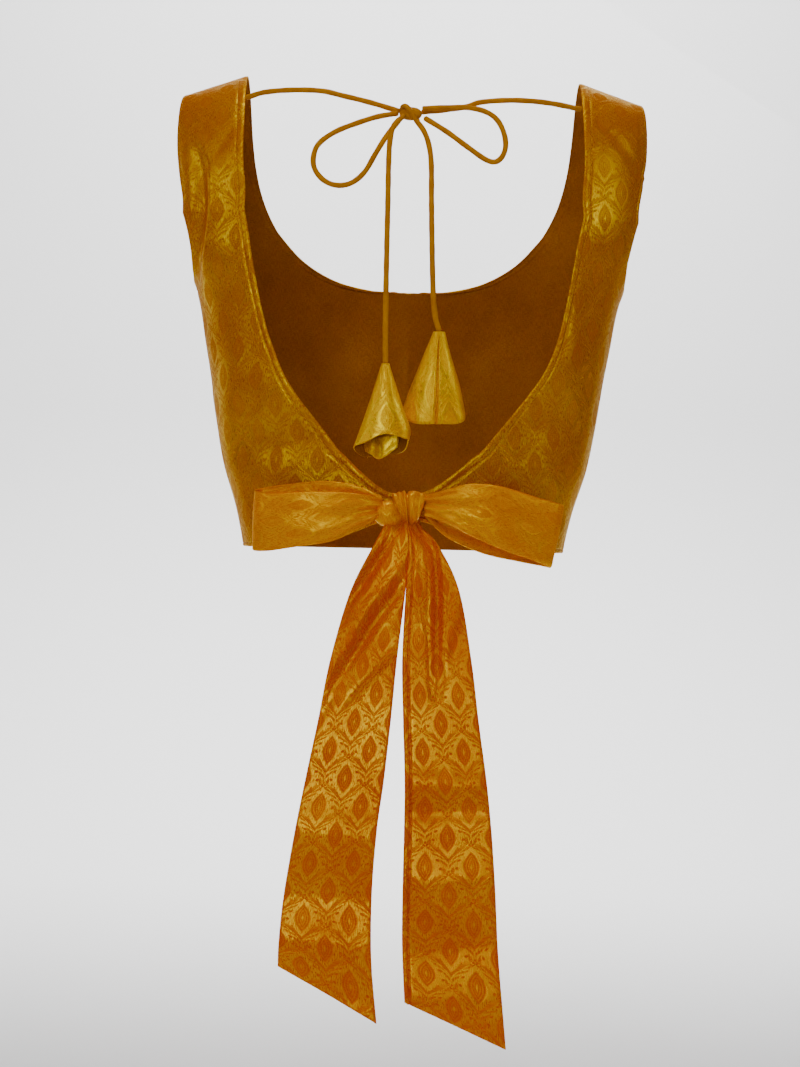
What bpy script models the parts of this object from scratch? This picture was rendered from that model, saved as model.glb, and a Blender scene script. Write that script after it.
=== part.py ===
"""Choli blouse with a deep open back, closed by a wide sash bow at the waist and a thin cord bow above.

The cloth keeps the hollow form that it has when worn. Metres, +Z up; the front faces -Y and the bow +Y.
The origin is midway between the two shoulder seams, at the height where the straps rest.
"""

import math

import bmesh
import bpy
import numpy as np

# Cloth, cord and gaps
CLOTH = 0.0016
SASH = 0.0018
TASSEL_CLOTH = 0.0015
CORD_RADIUS = 0.0020
SEAM_GAP = 0.0006
REST_GAP = 0.0006

# Heights of the hem, of the underarm and of the level where the shoulders start to round over
HEM = -0.3440
UNDERARM = -0.1525
SHOULDER_BASE = -0.1000
CROWN = 0.0100
STRAP_INNER = 0.1240
CROWN_AT_INNER = 0.0080
CROWN_SLOPE = -1.0 / 3.0

# Rings of the hollow form, evenly spaced from the hem up to the shoulder base:
# half_width, back_depth, front_depth
RINGS = (
    (0.1192, 0.0740, 0.0880),
    (0.1260, 0.0730, 0.0890),
    (0.1355, 0.0750, 0.0920),
    (0.1413, 0.0790, 0.0955),
    (0.1458, 0.0830, 0.0985),
    (0.1512, 0.0870, 0.0985),
    (0.1566, 0.0895, 0.0965),
    (0.1668, 0.0910, 0.0925),
    (0.1800, 0.0900, 0.0860),
)
RING_STEP = (SHOULDER_BASE - HEM) / (len(RINGS) - 1)
# 1 would be an ellipse; lower is squarer
ROUNDNESS = 0.8333

# An outer_x this large lies on the side seam
SIDE_SEAM = 1.0

# Rungs of one back panel, from the shoulder seam down to the knot:
# neck_x, neck_z, outer_x, outer_z
BACK_RUNGS = (
    (STRAP_INNER, CROWN, 0.1715, CROWN),
    (0.1236, -0.0120, 0.1742, -0.0220),
    (0.1240, -0.0360, 0.1744, -0.0460),
    (0.1239, -0.0620, 0.1716, -0.0700),
    (0.1220, -0.0880, 0.1680, -0.0920),
    (0.1187, -0.1170, 0.1645, -0.1110),
    (0.1158, -0.1370, 0.1612, -0.1290),
    (0.1124, -0.1580, 0.1602, -0.1440),
    (0.1078, -0.1780, SIDE_SEAM, UNDERARM),
    (0.1017, -0.1970, SIDE_SEAM, -0.1820),
    (0.0932, -0.2160, SIDE_SEAM, -0.2160),
    (0.0819, -0.2340, SIDE_SEAM, -0.2520),
    (0.0703, -0.2495, SIDE_SEAM, -0.2880),
    (0.0600, -0.2620, SIDE_SEAM, -0.3200),
    (0.0514, -0.2720, SIDE_SEAM, HEM),
    (0.0450, -0.2775, 0.1100, HEM),
    (0.0386, -0.2835, 0.0850, -0.3435),
    (0.0298, -0.2910, 0.0560, -0.3395),
    (0.0205, -0.2980, 0.0340, -0.3310),
    (0.0110, -0.3025, 0.0170, -0.3240),
    (0.0000, -0.3045, 0.0000, -0.3210),
)
# The bow pulls the neckline this much to the wearer's right, most at the middle of its length
NECK_LEAN = 0.0035

# Rungs of half the front, from the shoulder seam down to the hem:
# inner_x, inner_z, outer_x, outer_z
FRONT_RUNGS = (
    (STRAP_INNER, CROWN, 0.1715, CROWN),
    (0.1234, -0.0120, 0.1742, -0.0220),
    (0.1222, -0.0360, 0.1744, -0.0460),
    (0.1190, -0.0590, 0.1716, -0.0700),
    (0.1125, -0.0810, 0.1680, -0.0920),
    (0.1010, -0.1020, 0.1645, -0.1110),
    (0.0825, -0.1210, 0.1612, -0.1290),
    (0.0580, -0.1345, 0.1602, -0.1440),
    (0.0300, -0.1412, SIDE_SEAM, UNDERARM),
    (0.0000, -0.1430, SIDE_SEAM, -0.1700),
    (0.0000, -0.1640, SIDE_SEAM, -0.1900),
    (0.0000, -0.1870, SIDE_SEAM, -0.2100),
    (0.0000, -0.2100, SIDE_SEAM, -0.2300),
    (0.0000, -0.2330, SIDE_SEAM, -0.2500),
    (0.0000, -0.2560, SIDE_SEAM, -0.2700),
    (0.0000, -0.2790, SIDE_SEAM, -0.2890),
    (0.0000, -0.3020, SIDE_SEAM, -0.3080),
    (0.0000, -0.3240, SIDE_SEAM, -0.3260),
    (0.0000, HEM, SIDE_SEAM, HEM),
)
RUNG_SPLITS = 2
PANEL_COLUMNS = 10
# An extra row this part of a rung below the shoulder seam keeps the wall's end square to the seam
SEAM_ROW = 0.07

# Darted cup of the front: fullness beyond the rings, its middle, and how far it spreads
CUP_FULLNESS = 0.0160
CUP_X = 0.0730
CUP_Z = -0.1900
CUP_WIDTH = 0.0620
CUP_ABOVE = 0.0560
CUP_BELOW = 0.0480
# Above 1 the cup is broad and flat topped
CUP_ROUND = 1.35

# Folds of the back panels: at_rung, at_part across, rungs_long, part_wide, depth outwards
BACK_LEFT_FOLDS = (
    (5.0, 0.78, 2.6, 0.13, -0.0016),
    (5.0, 0.94, 2.2, 0.12, 0.0008),
    (16.5, 0.52, 2.6, 0.16, 0.0012),
    (17.5, 0.20, 2.4, 0.14, -0.0010),
    (13.0, 0.60, 2.8, 0.16, 0.0012),
)
BACK_RIGHT_FOLDS = (
    (5.5, 0.90, 1.8, 0.12, -0.0014),
    (3.0, 0.30, 2.4, 0.16, 0.0009),
    (16.5, 0.45, 2.6, 0.16, 0.0012),
    (17.5, 0.78, 2.2, 0.14, -0.0010),
    (12.5, 0.50, 2.8, 0.16, -0.0012),
)

# Knots: centre, half size, and squareness of the rounded block
SASH_KNOT_CENTRE = (0.0013, 0.0846, -0.3133)
SASH_KNOT_HALF = (0.0170, 0.0108, 0.0120)
SASH_KNOT_SQUARE = 2.6
CORD_KNOT_CENTRE = (0.0016, 0.0745, -0.0288)
CORD_KNOT_HALF = (0.0094, 0.0060, 0.0055)
CORD_KNOT_SQUARE = 2.2
# Grooves down the front of the sash knot: top_x, bottom_x, half_width, depth
KNOT_GROOVES = (
    (-0.0025, -0.0035, 0.0018, 0.0022),
    (0.0075, 0.0045, 0.0018, 0.0020),
)

# Rows along the bow's loops, front layer out, round the far fold, back layer in:
# top_x, top_y, top_z, bottom_x, bottom_y, bottom_z
LOOP_LEFT_ROWS = (
    (0.0160, 0.0900, -0.3075, 0.0160, 0.0900, -0.3205),
    (0.0320, 0.0955, -0.3043, 0.0330, 0.0950, -0.3300),
    (0.0530, 0.0975, -0.3033, 0.0510, 0.0960, -0.3385),
    (0.0750, 0.0950, -0.3038, 0.0770, 0.0930, -0.3432),
    (0.0970, 0.0860, -0.3046, 0.0970, 0.0860, -0.3465),
    (0.1080, 0.0755, -0.3030, 0.1085, 0.0765, -0.3465),
    (0.1030, 0.0650, -0.3010, 0.1030, 0.0665, -0.3435),
    (0.0860, 0.0690, -0.2981, 0.0840, 0.0705, -0.3410),
    (0.0570, 0.0765, -0.2952, 0.0560, 0.0780, -0.3355),
    (0.0330, 0.0815, -0.2985, 0.0340, 0.0825, -0.3270),
    (0.0160, 0.0845, -0.3060, 0.0160, 0.0845, -0.3195),
)
LOOP_RIGHT_ROWS = (
    (0.0145, 0.0900, -0.3040, 0.0145, 0.0900, -0.3185),
    (0.0300, 0.0950, -0.2996, 0.0310, 0.0950, -0.3245),
    (0.0480, 0.0970, -0.2952, 0.0500, 0.0970, -0.3335),
    (0.0700, 0.0945, -0.2968, 0.0740, 0.0930, -0.3430),
    (0.0960, 0.0850, -0.3038, 0.0930, 0.0845, -0.3490),
    (0.1155, 0.0735, -0.3088, 0.1070, 0.0735, -0.3543),
    (0.1070, 0.0630, -0.3060, 0.0990, 0.0650, -0.3530),
    (0.0860, 0.0680, -0.3015, 0.0840, 0.0705, -0.3505),
    (0.0570, 0.0760, -0.2970, 0.0570, 0.0780, -0.3450),
    (0.0320, 0.0815, -0.3010, 0.0310, 0.0825, -0.3340),
    (0.0145, 0.0845, -0.3050, 0.0145, 0.0845, -0.3190),
)
LOOP_COLUMNS = 9
LOOP_SPLITS = 2
# Pleats that run out from the knot: at_row, at_part, rows_long, part_wide, depth outwards
LOOP_LEFT_PLEATS = (
    (1.2, 0.30, 1.6, 0.13, 0.0015),
    (1.6, 0.66, 1.8, 0.13, -0.0018),
    (4.0, 0.40, 1.8, 0.20, -0.0018),
    (8.6, 0.50, 1.6, 0.16, 0.0012),
)
LOOP_RIGHT_PLEATS = (
    (1.8, 0.46, 1.6, 0.12, 0.0022),
    (2.2, 0.72, 1.6, 0.12, -0.0026),
    (1.2, 0.16, 1.2, 0.12, -0.0012),
    (8.6, 0.50, 1.6, 0.16, 0.0012),
)

# Rows down the hanging tails: outer_x, outer_z, inner_x, inner_z, y
TAIL_LEFT_ROWS = (
    (0.0135, -0.3270, 0.0030, -0.3262, 0.0880),
    (0.0209, -0.3400, 0.0002, -0.3400, 0.0960),
    (0.0371, -0.3745, 0.0010, -0.3780, 0.1080),
    (0.0498, -0.4222, 0.0026, -0.4212, 0.1190),
    (0.0572, -0.4643, 0.0059, -0.4631, 0.1250),
    (0.0652, -0.5064, 0.0098, -0.5052, 0.1280),
    (0.0714, -0.5415, 0.0139, -0.5402, 0.1290),
    (0.0784, -0.5872, 0.0165, -0.5858, 0.1300),
    (0.0811, -0.6200, 0.0157, -0.6330, 0.1300),
    (0.0815, -0.6371, 0.0112, -0.6761, 0.1300),
)
TAIL_RIGHT_ROWS = (
    (-0.0116, -0.3262, -0.0026, -0.3262, 0.0880),
    (-0.0248, -0.3395, -0.0036, -0.3400, 0.0960),
    (-0.0403, -0.3710, -0.0024, -0.3740, 0.1080),
    (-0.0499, -0.4200, -0.0010, -0.4211, 0.1190),
    (-0.0557, -0.4617, -0.0026, -0.4630, 0.1250),
    (-0.0621, -0.5035, -0.0046, -0.5048, 0.1280),
    (-0.0664, -0.5384, -0.0050, -0.5398, 0.1290),
    (-0.0702, -0.5838, -0.0049, -0.5853, 0.1300),
    (-0.0737, -0.6320, -0.0055, -0.6220, 0.1300),
    (-0.0800, -0.6923, -0.0080, -0.6603, 0.1300),
)
TAIL_COLUMNS = 8
TAIL_SPLITS = 2
TAIL_LEFT_PLEATS = (
    (1.6, 0.30, 1.4, 0.14, 0.0018),
    (2.0, 0.62, 1.5, 0.14, -0.0022),
    (4.2, 0.45, 2.4, 0.22, 0.0030),
    (6.0, 0.75, 2.2, 0.22, -0.0022),
)
TAIL_RIGHT_PLEATS = (
    (1.5, 0.72, 1.3, 0.13, -0.0024),
    (1.8, 0.42, 1.4, 0.14, 0.0022),
    (4.4, 0.52, 2.6, 0.22, 0.0028),
    (6.4, 0.25, 2.2, 0.22, -0.0020),
)

# Routes of the thin cord from its end at the knot or strap: x, y, z
STRAND_LEFT = (
    (0.1219, 0.0440, -0.0148),
    (0.1085, 0.0510, -0.0118),
    (0.0873, 0.0585, -0.0109),
    (0.0664, 0.0635, -0.0120),
    (0.0517, 0.0662, -0.0154),
    (0.0313, 0.0685, -0.0203),
    (0.0100, 0.0706, -0.0265),
)
STRAND_RIGHT = (
    (-0.1229, 0.0449, -0.0181),
    (-0.0990, 0.0540, -0.0155),
    (-0.0739, 0.0610, -0.0152),
    (-0.0499, 0.0652, -0.0177),
    (-0.0376, 0.0668, -0.0218),
    (-0.0200, 0.0685, -0.0250),
    (-0.0069, 0.0706, -0.0267),
)
BOW_LEFT = (
    (0.0113, 0.0752, -0.0288),
    (0.0259, 0.0785, -0.0322),
    (0.0408, 0.0810, -0.0377),
    (0.0558, 0.0820, -0.0443),
    (0.0667, 0.0830, -0.0526),
    (0.0705, 0.0840, -0.0610),
    (0.0702, 0.0850, -0.0702),
    (0.0649, 0.0870, -0.0782),
    (0.0569, 0.0880, -0.0828),
    (0.0476, 0.0885, -0.0831),
    (0.0398, 0.0880, -0.0794),
    (0.0328, 0.0870, -0.0719),
    (0.0261, 0.0845, -0.0593),
    (0.0183, 0.0800, -0.0455),
    (0.0103, 0.0752, -0.0345),
)
BOW_RIGHT = (
    (-0.0072, 0.0765, -0.0252),
    (-0.0244, 0.0770, -0.0242),
    (-0.0396, 0.0775, -0.0240),
    (-0.0518, 0.0780, -0.0265),
    (-0.0602, 0.0790, -0.0320),
    (-0.0654, 0.0810, -0.0414),
    (-0.0671, 0.0830, -0.0517),
    (-0.0646, 0.0850, -0.0599),
    (-0.0596, 0.0860, -0.0638),
    (-0.0524, 0.0860, -0.0620),
    (-0.0401, 0.0840, -0.0535),
    (-0.0248, 0.0810, -0.0423),
    (-0.0088, 0.0770, -0.0322),
)
HANG_LEFT = (
    (0.0065, 0.0804, -0.0312),
    (0.0135, 0.0865, -0.0395),
    (0.0160, 0.0905, -0.0505),
    (0.0166, 0.0935, -0.0678),
    (0.0165, 0.0975, -0.0942),
    (0.0165, 0.1010, -0.1232),
    (0.0164, 0.1030, -0.1590),
    (0.0162, 0.1040, -0.1875),
    (0.0156, 0.1040, -0.2108),
)
HANG_RIGHT = (
    (-0.0025, 0.0785, -0.0342),
    (-0.0080, 0.0815, -0.0420),
    (-0.0118, 0.0845, -0.0520),
    (-0.0139, 0.0880, -0.0665),
    (-0.0146, 0.0910, -0.0927),
    (-0.0156, 0.0920, -0.1214),
    (-0.0172, 0.0910, -0.1571),
    (-0.0192, 0.0895, -0.1760),
    (-0.0221, 0.0890, -0.1858),
)
CORD_STEP = 0.0090

# Rings down the cone tassels: centre_x, centre_y, centre_z, half_width, half_depth, front_lift
TASSEL_LEFT_RINGS = (
    (0.0156, 0.1040, -0.2113, 0.0028, 0.0028, 0.0000),
    (0.0150, 0.1040, -0.2380, 0.0112, 0.0075, 0.0000),
    (0.0146, 0.1040, -0.2590, 0.0182, 0.0100, 0.0030),
    (0.0150, 0.1040, -0.2725, 0.0202, 0.0110, 0.0075),
)
TASSEL_RIGHT_RINGS = (
    (-0.0223, 0.0890, -0.1868, 0.0042, 0.0035, 0.0000),
    (-0.0213, 0.0885, -0.2037, 0.0099, 0.0065, 0.0000),
    (-0.0209, 0.0880, -0.2249, 0.0172, 0.0093, -0.0020),
    (-0.0203, 0.0880, -0.2460, 0.0232, 0.0100, -0.0080),
)
TASSEL_SIDES = 18
TASSEL_SPLITS = 2

# Points inside the hollow form, and far in front of the tails, that say which side of a wall is its outside
FORM_MIDDLE = (0.0, 0.0, -0.2)
BEHIND_TAILS = (0.0, -1.0, -0.5)


def clear_scene():
    for thing in list(bpy.data.objects):
        bpy.data.objects.remove(thing, do_unlink=True)


def material(name, colour, roughness, metallic=0.0):
    made = bpy.data.materials.new(name)
    made.use_nodes = True
    shader = made.node_tree.nodes["Principled BSDF"]
    shader.inputs["Base Color"].default_value = (*colour, 1.0)
    shader.inputs["Roughness"].default_value = roughness
    shader.inputs["Metallic"].default_value = metallic
    return made


def smooth_rows(rows, places):
    """The rows read at these places (0 is the first row, 1 the second) along a Catmull-Rom curve."""
    rows = np.asarray(rows, float)
    places = np.clip(np.asarray(places, float), 0.0, len(rows) - 1.0)
    first = np.minimum(places.astype(int), len(rows) - 2)
    part = (places - first)[..., None]
    padded = np.vstack([2 * rows[0] - rows[1], rows, 2 * rows[-1] - rows[-2]])
    before, start, end, after = (padded[first + k] for k in range(4))
    return 0.5 * (
        2 * start
        + (end - before) * part
        + (2 * before - 5 * start + 4 * end - after) * part**2
        + (3 * start - before - 3 * end + after) * part**3
    )


def crown_height(x):
    """Height of the shoulder seam above the origin: it falls towards the arm."""
    return CROWN_AT_INNER + (x - STRAP_INNER) * CROWN_SLOPE


def form_place(x, z):
    """(angle, rise) on the hollow form of the point seen at x and z; angle 90 degrees is the side seam."""
    level = min(z, SHOULDER_BASE)
    half_width = smooth_rows(RINGS, (level - HEM) / RING_STEP)[0]
    angle = math.asin(min(1.0, max(0.0, x) / half_width) ** (1.0 / ROUNDNESS))
    if z <= SHOULDER_BASE:
        return angle, z
    height = crown_height(x) - SHOULDER_BASE
    return angle, SHOULDER_BASE + height * math.asin(min(1.0, (z - SHOULDER_BASE) / height))


def form_point(angle, rise, facing):
    """Points on the hollow form; facing is 1 on the back and -1 on the front."""
    rings = smooth_rows(RINGS, (np.minimum(rise, SHOULDER_BASE) - HEM) / RING_STEP)
    half_width = rings[..., 0]
    depth = rings[..., 1] if facing > 0 else rings[..., 2]
    x = half_width * np.sin(angle) ** ROUNDNESS
    height = crown_height(x) - SHOULDER_BASE
    over = np.maximum(rise - SHOULDER_BASE, 0.0) / height
    z = np.where(rise > SHOULDER_BASE, SHOULDER_BASE + height * np.sin(over), rise)
    y = facing * depth * np.cos(angle) ** ROUNDNESS * np.cos(over)
    return np.stack([x, y, z], axis=-1)


def grid_normals(points):
    along = np.gradient(points, axis=0)
    across = np.gradient(points, axis=1)
    normals = np.cross(along, across)
    return normals / np.linalg.norm(normals, axis=-1, keepdims=True)


def bump(distance):
    return np.exp(-(distance**2))


def folds_at(folds, row, part):
    """Depth of the folds at a row and a part across: each is a soft ridge that dies out at both ends."""
    depth = np.zeros(np.broadcast(row, part).shape)
    for at_row, at_part, rows_long, part_wide, height in folds:
        depth += height * bump((row - at_row) / rows_long) * bump((part - at_part) / part_wide)
    return depth


def panel_grid(rungs, facing):
    """Points of one panel on the hollow form, between the inner and the outer ends of its rungs."""
    ends = [form_place(ix, iz) + form_place(ox, oz) for ix, iz, ox, oz in rungs]
    rows = np.linspace(0, len(rungs) - 1, (len(rungs) - 1) * RUNG_SPLITS + 1)
    rows = np.insert(rows, 1, SEAM_ROW)
    inner_angle, inner_rise, outer_angle, outer_rise = smooth_rows(ends, rows).T[:, :, None]
    part = np.linspace(0, 1, PANEL_COLUMNS + 1)[None, :]
    outer_angle = np.clip(outer_angle, 0.0, math.pi / 2)
    inner_angle = np.clip(inner_angle, 0.0, math.pi / 2)
    angle = inner_angle + (outer_angle - inner_angle) * part
    rise = inner_rise + (np.maximum(outer_rise, HEM) - inner_rise) * part
    return form_point(angle, rise, facing), rows[:, None], part


def back_grid(side, folds):
    last = len(BACK_RUNGS) - 1
    leaning = [
        (neck_x - side * NECK_LEAN * math.sin(math.pi * i / last), neck_z, outer_x, outer_z)
        for i, (neck_x, neck_z, outer_x, outer_z) in enumerate(BACK_RUNGS)
    ]
    points, row, part = panel_grid(leaning, 1)
    points = points - grid_normals(points) * folds_at(folds, row, part)[..., None]
    points[..., 1] = np.maximum(points[..., 1], SEAM_GAP / 2)
    points[..., 0] = side * np.maximum(points[..., 0], SEAM_GAP / 2)
    return points


def cup_fullness(points):
    x, z = points[..., 0], points[..., 2]
    height = (z - CUP_Z) / np.where(z > CUP_Z, CUP_ABOVE, CUP_BELOW)
    reach = ((x - CUP_X) / CUP_WIDTH) ** 2 + height**2
    return CUP_FULLNESS * np.exp(-(reach**CUP_ROUND))


def front_grid():
    points = panel_grid(FRONT_RUNGS, -1)[0]
    points[..., 1] -= cup_fullness(points) * np.clip(-points[..., 1] / 0.05, 0.0, 1.0)
    points[..., 1] = np.minimum(points[..., 1], -SEAM_GAP / 2)
    return points


def ribbon_grid(ends, pleats, columns, splits):
    """Points of a ribbon between two edges, each row giving edge point A and edge point B."""
    rows = np.linspace(0, len(ends) - 1, (len(ends) - 1) * splits + 1)
    path = smooth_rows(ends, rows)
    part = np.linspace(0, 1, columns + 1)[None, :, None]
    points = path[:, None, :3] + (path[:, None, 3:] - path[:, None, :3]) * part
    depth = folds_at(pleats, rows[:, None], part[..., 0])
    return points, depth[..., None]


def block_reach(along, across, half, square):
    """How far a rounded block reaches along one axis, at offsets on the other two."""
    used = sum(np.abs(np.clip(o / h, -1, 1)) ** square for o, h in across)
    return half[along] * np.maximum(0.0, 1.0 - used) ** (1.0 / square)


def loop_grid(rows, pleats, side):
    points, depth = ribbon_grid(rows, pleats, LOOP_COLUMNS, LOOP_SPLITS)
    middle = points.mean(axis=(0, 1))
    normals = grid_normals(points)
    outward = np.sign((normals * (points - middle)).sum())
    points = points + outward * normals * depth
    points[..., 0] *= side
    for end in (0, -1):
        y = points[end, :, 1] - SASH_KNOT_CENTRE[1]
        z = points[end, :, 2] - SASH_KNOT_CENTRE[2]
        offsets = ((y, SASH_KNOT_HALF[1]), (z, SASH_KNOT_HALF[2]))
        reach = block_reach(0, offsets, SASH_KNOT_HALF, SASH_KNOT_SQUARE)
        points[end, :, 0] = SASH_KNOT_CENTRE[0] + side * (reach + REST_GAP)
    return points


def tail_grid(rows, pleats):
    ends = [(ox, y, oz, ix, y, iz) for ox, oz, ix, iz, y in rows]
    points, depth = ribbon_grid(ends, pleats, TAIL_COLUMNS, TAIL_SPLITS)
    points[..., 1] += depth[..., 0]
    x = points[0, :, 0] - SASH_KNOT_CENTRE[0]
    y = points[0, :, 1] - SASH_KNOT_CENTRE[1]
    offsets = ((x, SASH_KNOT_HALF[0]), (y, SASH_KNOT_HALF[1]))
    reach = block_reach(2, offsets, SASH_KNOT_HALF, SASH_KNOT_SQUARE)
    points[0, :, 2] = SASH_KNOT_CENTRE[2] - reach - REST_GAP
    return points


def tassel_grid(rings):
    rows = smooth_rows(rings, np.linspace(0, len(rings) - 1, (len(rings) - 1) * TASSEL_SPLITS + 1))
    turn = np.arange(TASSEL_SIDES) * 2 * math.pi / TASSEL_SIDES
    centre_x, centre_y, centre_z, half_width, half_depth, lift = rows.T[:, :, None]
    x = centre_x + half_width * np.cos(turn)
    y = centre_y + half_depth * np.sin(turn)
    z = centre_z + lift * np.sin(turn)
    return np.stack([x, y, z], axis=-1)


def wall_object(name, points, inside, thickness, cloth, closed=False, capped=False, mirrored=False):
    """A wall whose outer face passes through the grid, thickened towards the given inside point."""
    rows, columns = points.shape[:2]
    normals = grid_normals(points)
    flip = (normals * (points - np.asarray(inside))).sum() < 0
    mesh_builder = bmesh.new()
    verts = [[mesh_builder.verts.new(point) for point in row] for row in points]
    for i in range(rows - 1):
        for j in range(columns if closed else columns - 1):
            k = (j + 1) % columns
            corners = [verts[i][j], verts[i + 1][j], verts[i + 1][k], verts[i][k]]
            mesh_builder.faces.new(corners[::-1] if flip else corners)
    if capped:
        mesh_builder.faces.new(verts[0][::-1] if flip else verts[0])
    mesh = bpy.data.meshes.new(name)
    mesh_builder.to_mesh(mesh)
    mesh_builder.free()
    mesh.shade_smooth()
    thing = bpy.data.objects.new(name, mesh)
    collection.objects.link(thing)
    thing.data.materials.append(cloth)
    if mirrored:
        mirror = thing.modifiers.new("other half", "MIRROR")
        mirror.use_axis = (True, False, False)
        mirror.use_clip = True
        mirror.merge_threshold = 0.00005
    solid = thing.modifiers.new("cloth", "SOLIDIFY")
    solid.thickness = thickness
    solid.offset = -1.0
    solid.use_quality_normals = True
    return thing


def block_object(name, centre, half, square, grooves, cloth):
    """A rounded block, as a tightly pulled knot, with grooves between its folds on the +Y face."""
    builder = bmesh.new()
    bmesh.ops.create_uvsphere(builder, u_segments=24, v_segments=14, radius=1.0)
    for vert in builder.verts:
        reach = sum(abs(vert.co[k] / half[k]) ** square for k in range(3)) ** (-1.0 / square)
        vert.co = vert.co * reach
        height = vert.co.z / half[2]
        for top_x, bottom_x, half_width, depth in grooves:
            groove_x = (top_x + bottom_x) / 2 + (top_x - bottom_x) / 2 * height
            pull = depth * math.exp(-(((vert.co.x - groove_x) / half_width) ** 2))
            if vert.co.y > depth:
                vert.co.y -= pull
    mesh = bpy.data.meshes.new(name)
    builder.to_mesh(mesh)
    builder.free()
    mesh.shade_smooth()
    thing = bpy.data.objects.new(name, mesh)
    thing.location = centre
    collection.objects.link(thing)
    thing.data.materials.append(cloth)
    return thing


def route_points(route):
    """Points a few cord widths apart along a smooth curve through the route."""
    fine = smooth_rows(route, np.linspace(0, len(route) - 1, 40 * len(route)))
    run = np.concatenate([[0.0], np.cumsum(np.linalg.norm(np.diff(fine, axis=0), axis=1))])
    count = max(3, round(run[-1] / CORD_STEP) + 1)
    wanted = np.linspace(0, run[-1], count)
    return np.stack([np.interp(wanted, run, fine[:, k]) for k in range(3)], axis=-1)


def cord_object(name, route, cloth):
    points = route_points(route)
    curve = bpy.data.curves.new(name, "CURVE")
    curve.dimensions = "3D"
    curve.bevel_depth = CORD_RADIUS
    curve.bevel_resolution = 2
    curve.use_fill_caps = True
    spline = curve.splines.new("POLY")
    spline.points.add(len(points) - 1)
    for spot, point in zip(spline.points, points):
        spot.co = (*point, 1.0)
    thing = bpy.data.objects.new(name, curve)
    collection.objects.link(thing)
    thing.data.materials.append(cloth)
    return thing


clear_scene()
collection = bpy.data.collections.new("choli_blouse")
bpy.context.scene.collection.children.link(collection)
brocade = material("gold jacquard silk", (0.62, 0.30, 0.02), 0.45, 0.3)
sash_cloth = material("gold jacquard sash", (0.60, 0.25, 0.01), 0.45, 0.3)
cord_cloth = material("amber cord", (0.55, 0.24, 0.01), 0.6)

# Body of the blouse
wall_object("front", front_grid(), FORM_MIDDLE, CLOTH, brocade, mirrored=True)
wall_object("back_left", back_grid(1, BACK_LEFT_FOLDS), FORM_MIDDLE, CLOTH, brocade)
wall_object("back_right", back_grid(-1, BACK_RIGHT_FOLDS), FORM_MIDDLE, CLOTH, brocade)

# Sash bow
block_object(
    "bow_knot", SASH_KNOT_CENTRE, SASH_KNOT_HALF, SASH_KNOT_SQUARE, KNOT_GROOVES, sash_cloth
)
left_loop = loop_grid(LOOP_LEFT_ROWS, LOOP_LEFT_PLEATS, 1)
right_loop = loop_grid(LOOP_RIGHT_ROWS, LOOP_RIGHT_PLEATS, -1)
wall_object("bow_loop_left", left_loop, left_loop.mean(axis=(0, 1)), SASH, sash_cloth)
wall_object("bow_loop_right", right_loop, right_loop.mean(axis=(0, 1)), SASH, sash_cloth)
left_tail = tail_grid(TAIL_LEFT_ROWS, TAIL_LEFT_PLEATS)
right_tail = tail_grid(TAIL_RIGHT_ROWS, TAIL_RIGHT_PLEATS)
wall_object("tail_left", left_tail, BEHIND_TAILS, SASH, sash_cloth)
wall_object("tail_right", right_tail, BEHIND_TAILS, SASH, sash_cloth)

# Thin cord bow and its tassels
block_object("dori_knot", CORD_KNOT_CENTRE, CORD_KNOT_HALF, CORD_KNOT_SQUARE, (), cord_cloth)
cord_object("dori_strand_left", STRAND_LEFT, cord_cloth)
cord_object("dori_strand_right", STRAND_RIGHT, cord_cloth)
cord_object("dori_bow_left", BOW_LEFT, cord_cloth)
cord_object("dori_bow_right", BOW_RIGHT, cord_cloth)
cord_object("dori_hang_left", HANG_LEFT, cord_cloth)
cord_object("dori_hang_right", HANG_RIGHT, cord_cloth)
for tassel_name, tassel_rings in (
    ("tassel_left", TASSEL_LEFT_RINGS),
    ("tassel_right", TASSEL_RIGHT_RINGS),
):
    tassel_points = tassel_grid(tassel_rings)
    wall_object(
        tassel_name,
        tassel_points,
        tassel_points.mean(axis=(0, 1)),
        TASSEL_CLOTH,
        sash_cloth,
        closed=True,
        capped=True,
    )
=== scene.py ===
import math

import bmesh
import bpy
import numpy as np
from mathutils import Matrix, Vector


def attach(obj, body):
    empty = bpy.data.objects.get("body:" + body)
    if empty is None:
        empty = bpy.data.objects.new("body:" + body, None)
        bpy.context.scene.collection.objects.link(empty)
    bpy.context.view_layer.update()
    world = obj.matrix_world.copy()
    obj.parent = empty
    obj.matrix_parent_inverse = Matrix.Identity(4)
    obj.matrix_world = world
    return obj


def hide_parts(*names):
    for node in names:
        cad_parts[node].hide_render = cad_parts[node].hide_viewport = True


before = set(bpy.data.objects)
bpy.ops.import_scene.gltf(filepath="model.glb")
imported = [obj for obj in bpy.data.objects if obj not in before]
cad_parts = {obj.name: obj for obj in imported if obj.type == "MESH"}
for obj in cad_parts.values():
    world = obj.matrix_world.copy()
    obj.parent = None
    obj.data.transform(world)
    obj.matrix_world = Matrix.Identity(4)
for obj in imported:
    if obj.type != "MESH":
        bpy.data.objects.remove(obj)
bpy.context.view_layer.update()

# Camera: behind the blouse, level with its bow, and turned a little about its own line of sight,
# because the hem, bow and shoulders all lean that way in the picture.
CAMERA_PLACE = (0.0025, 2.0, -0.3319)
CAMERA_ROLL = 1.3
CAMERA_LENS = 90.0

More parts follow.
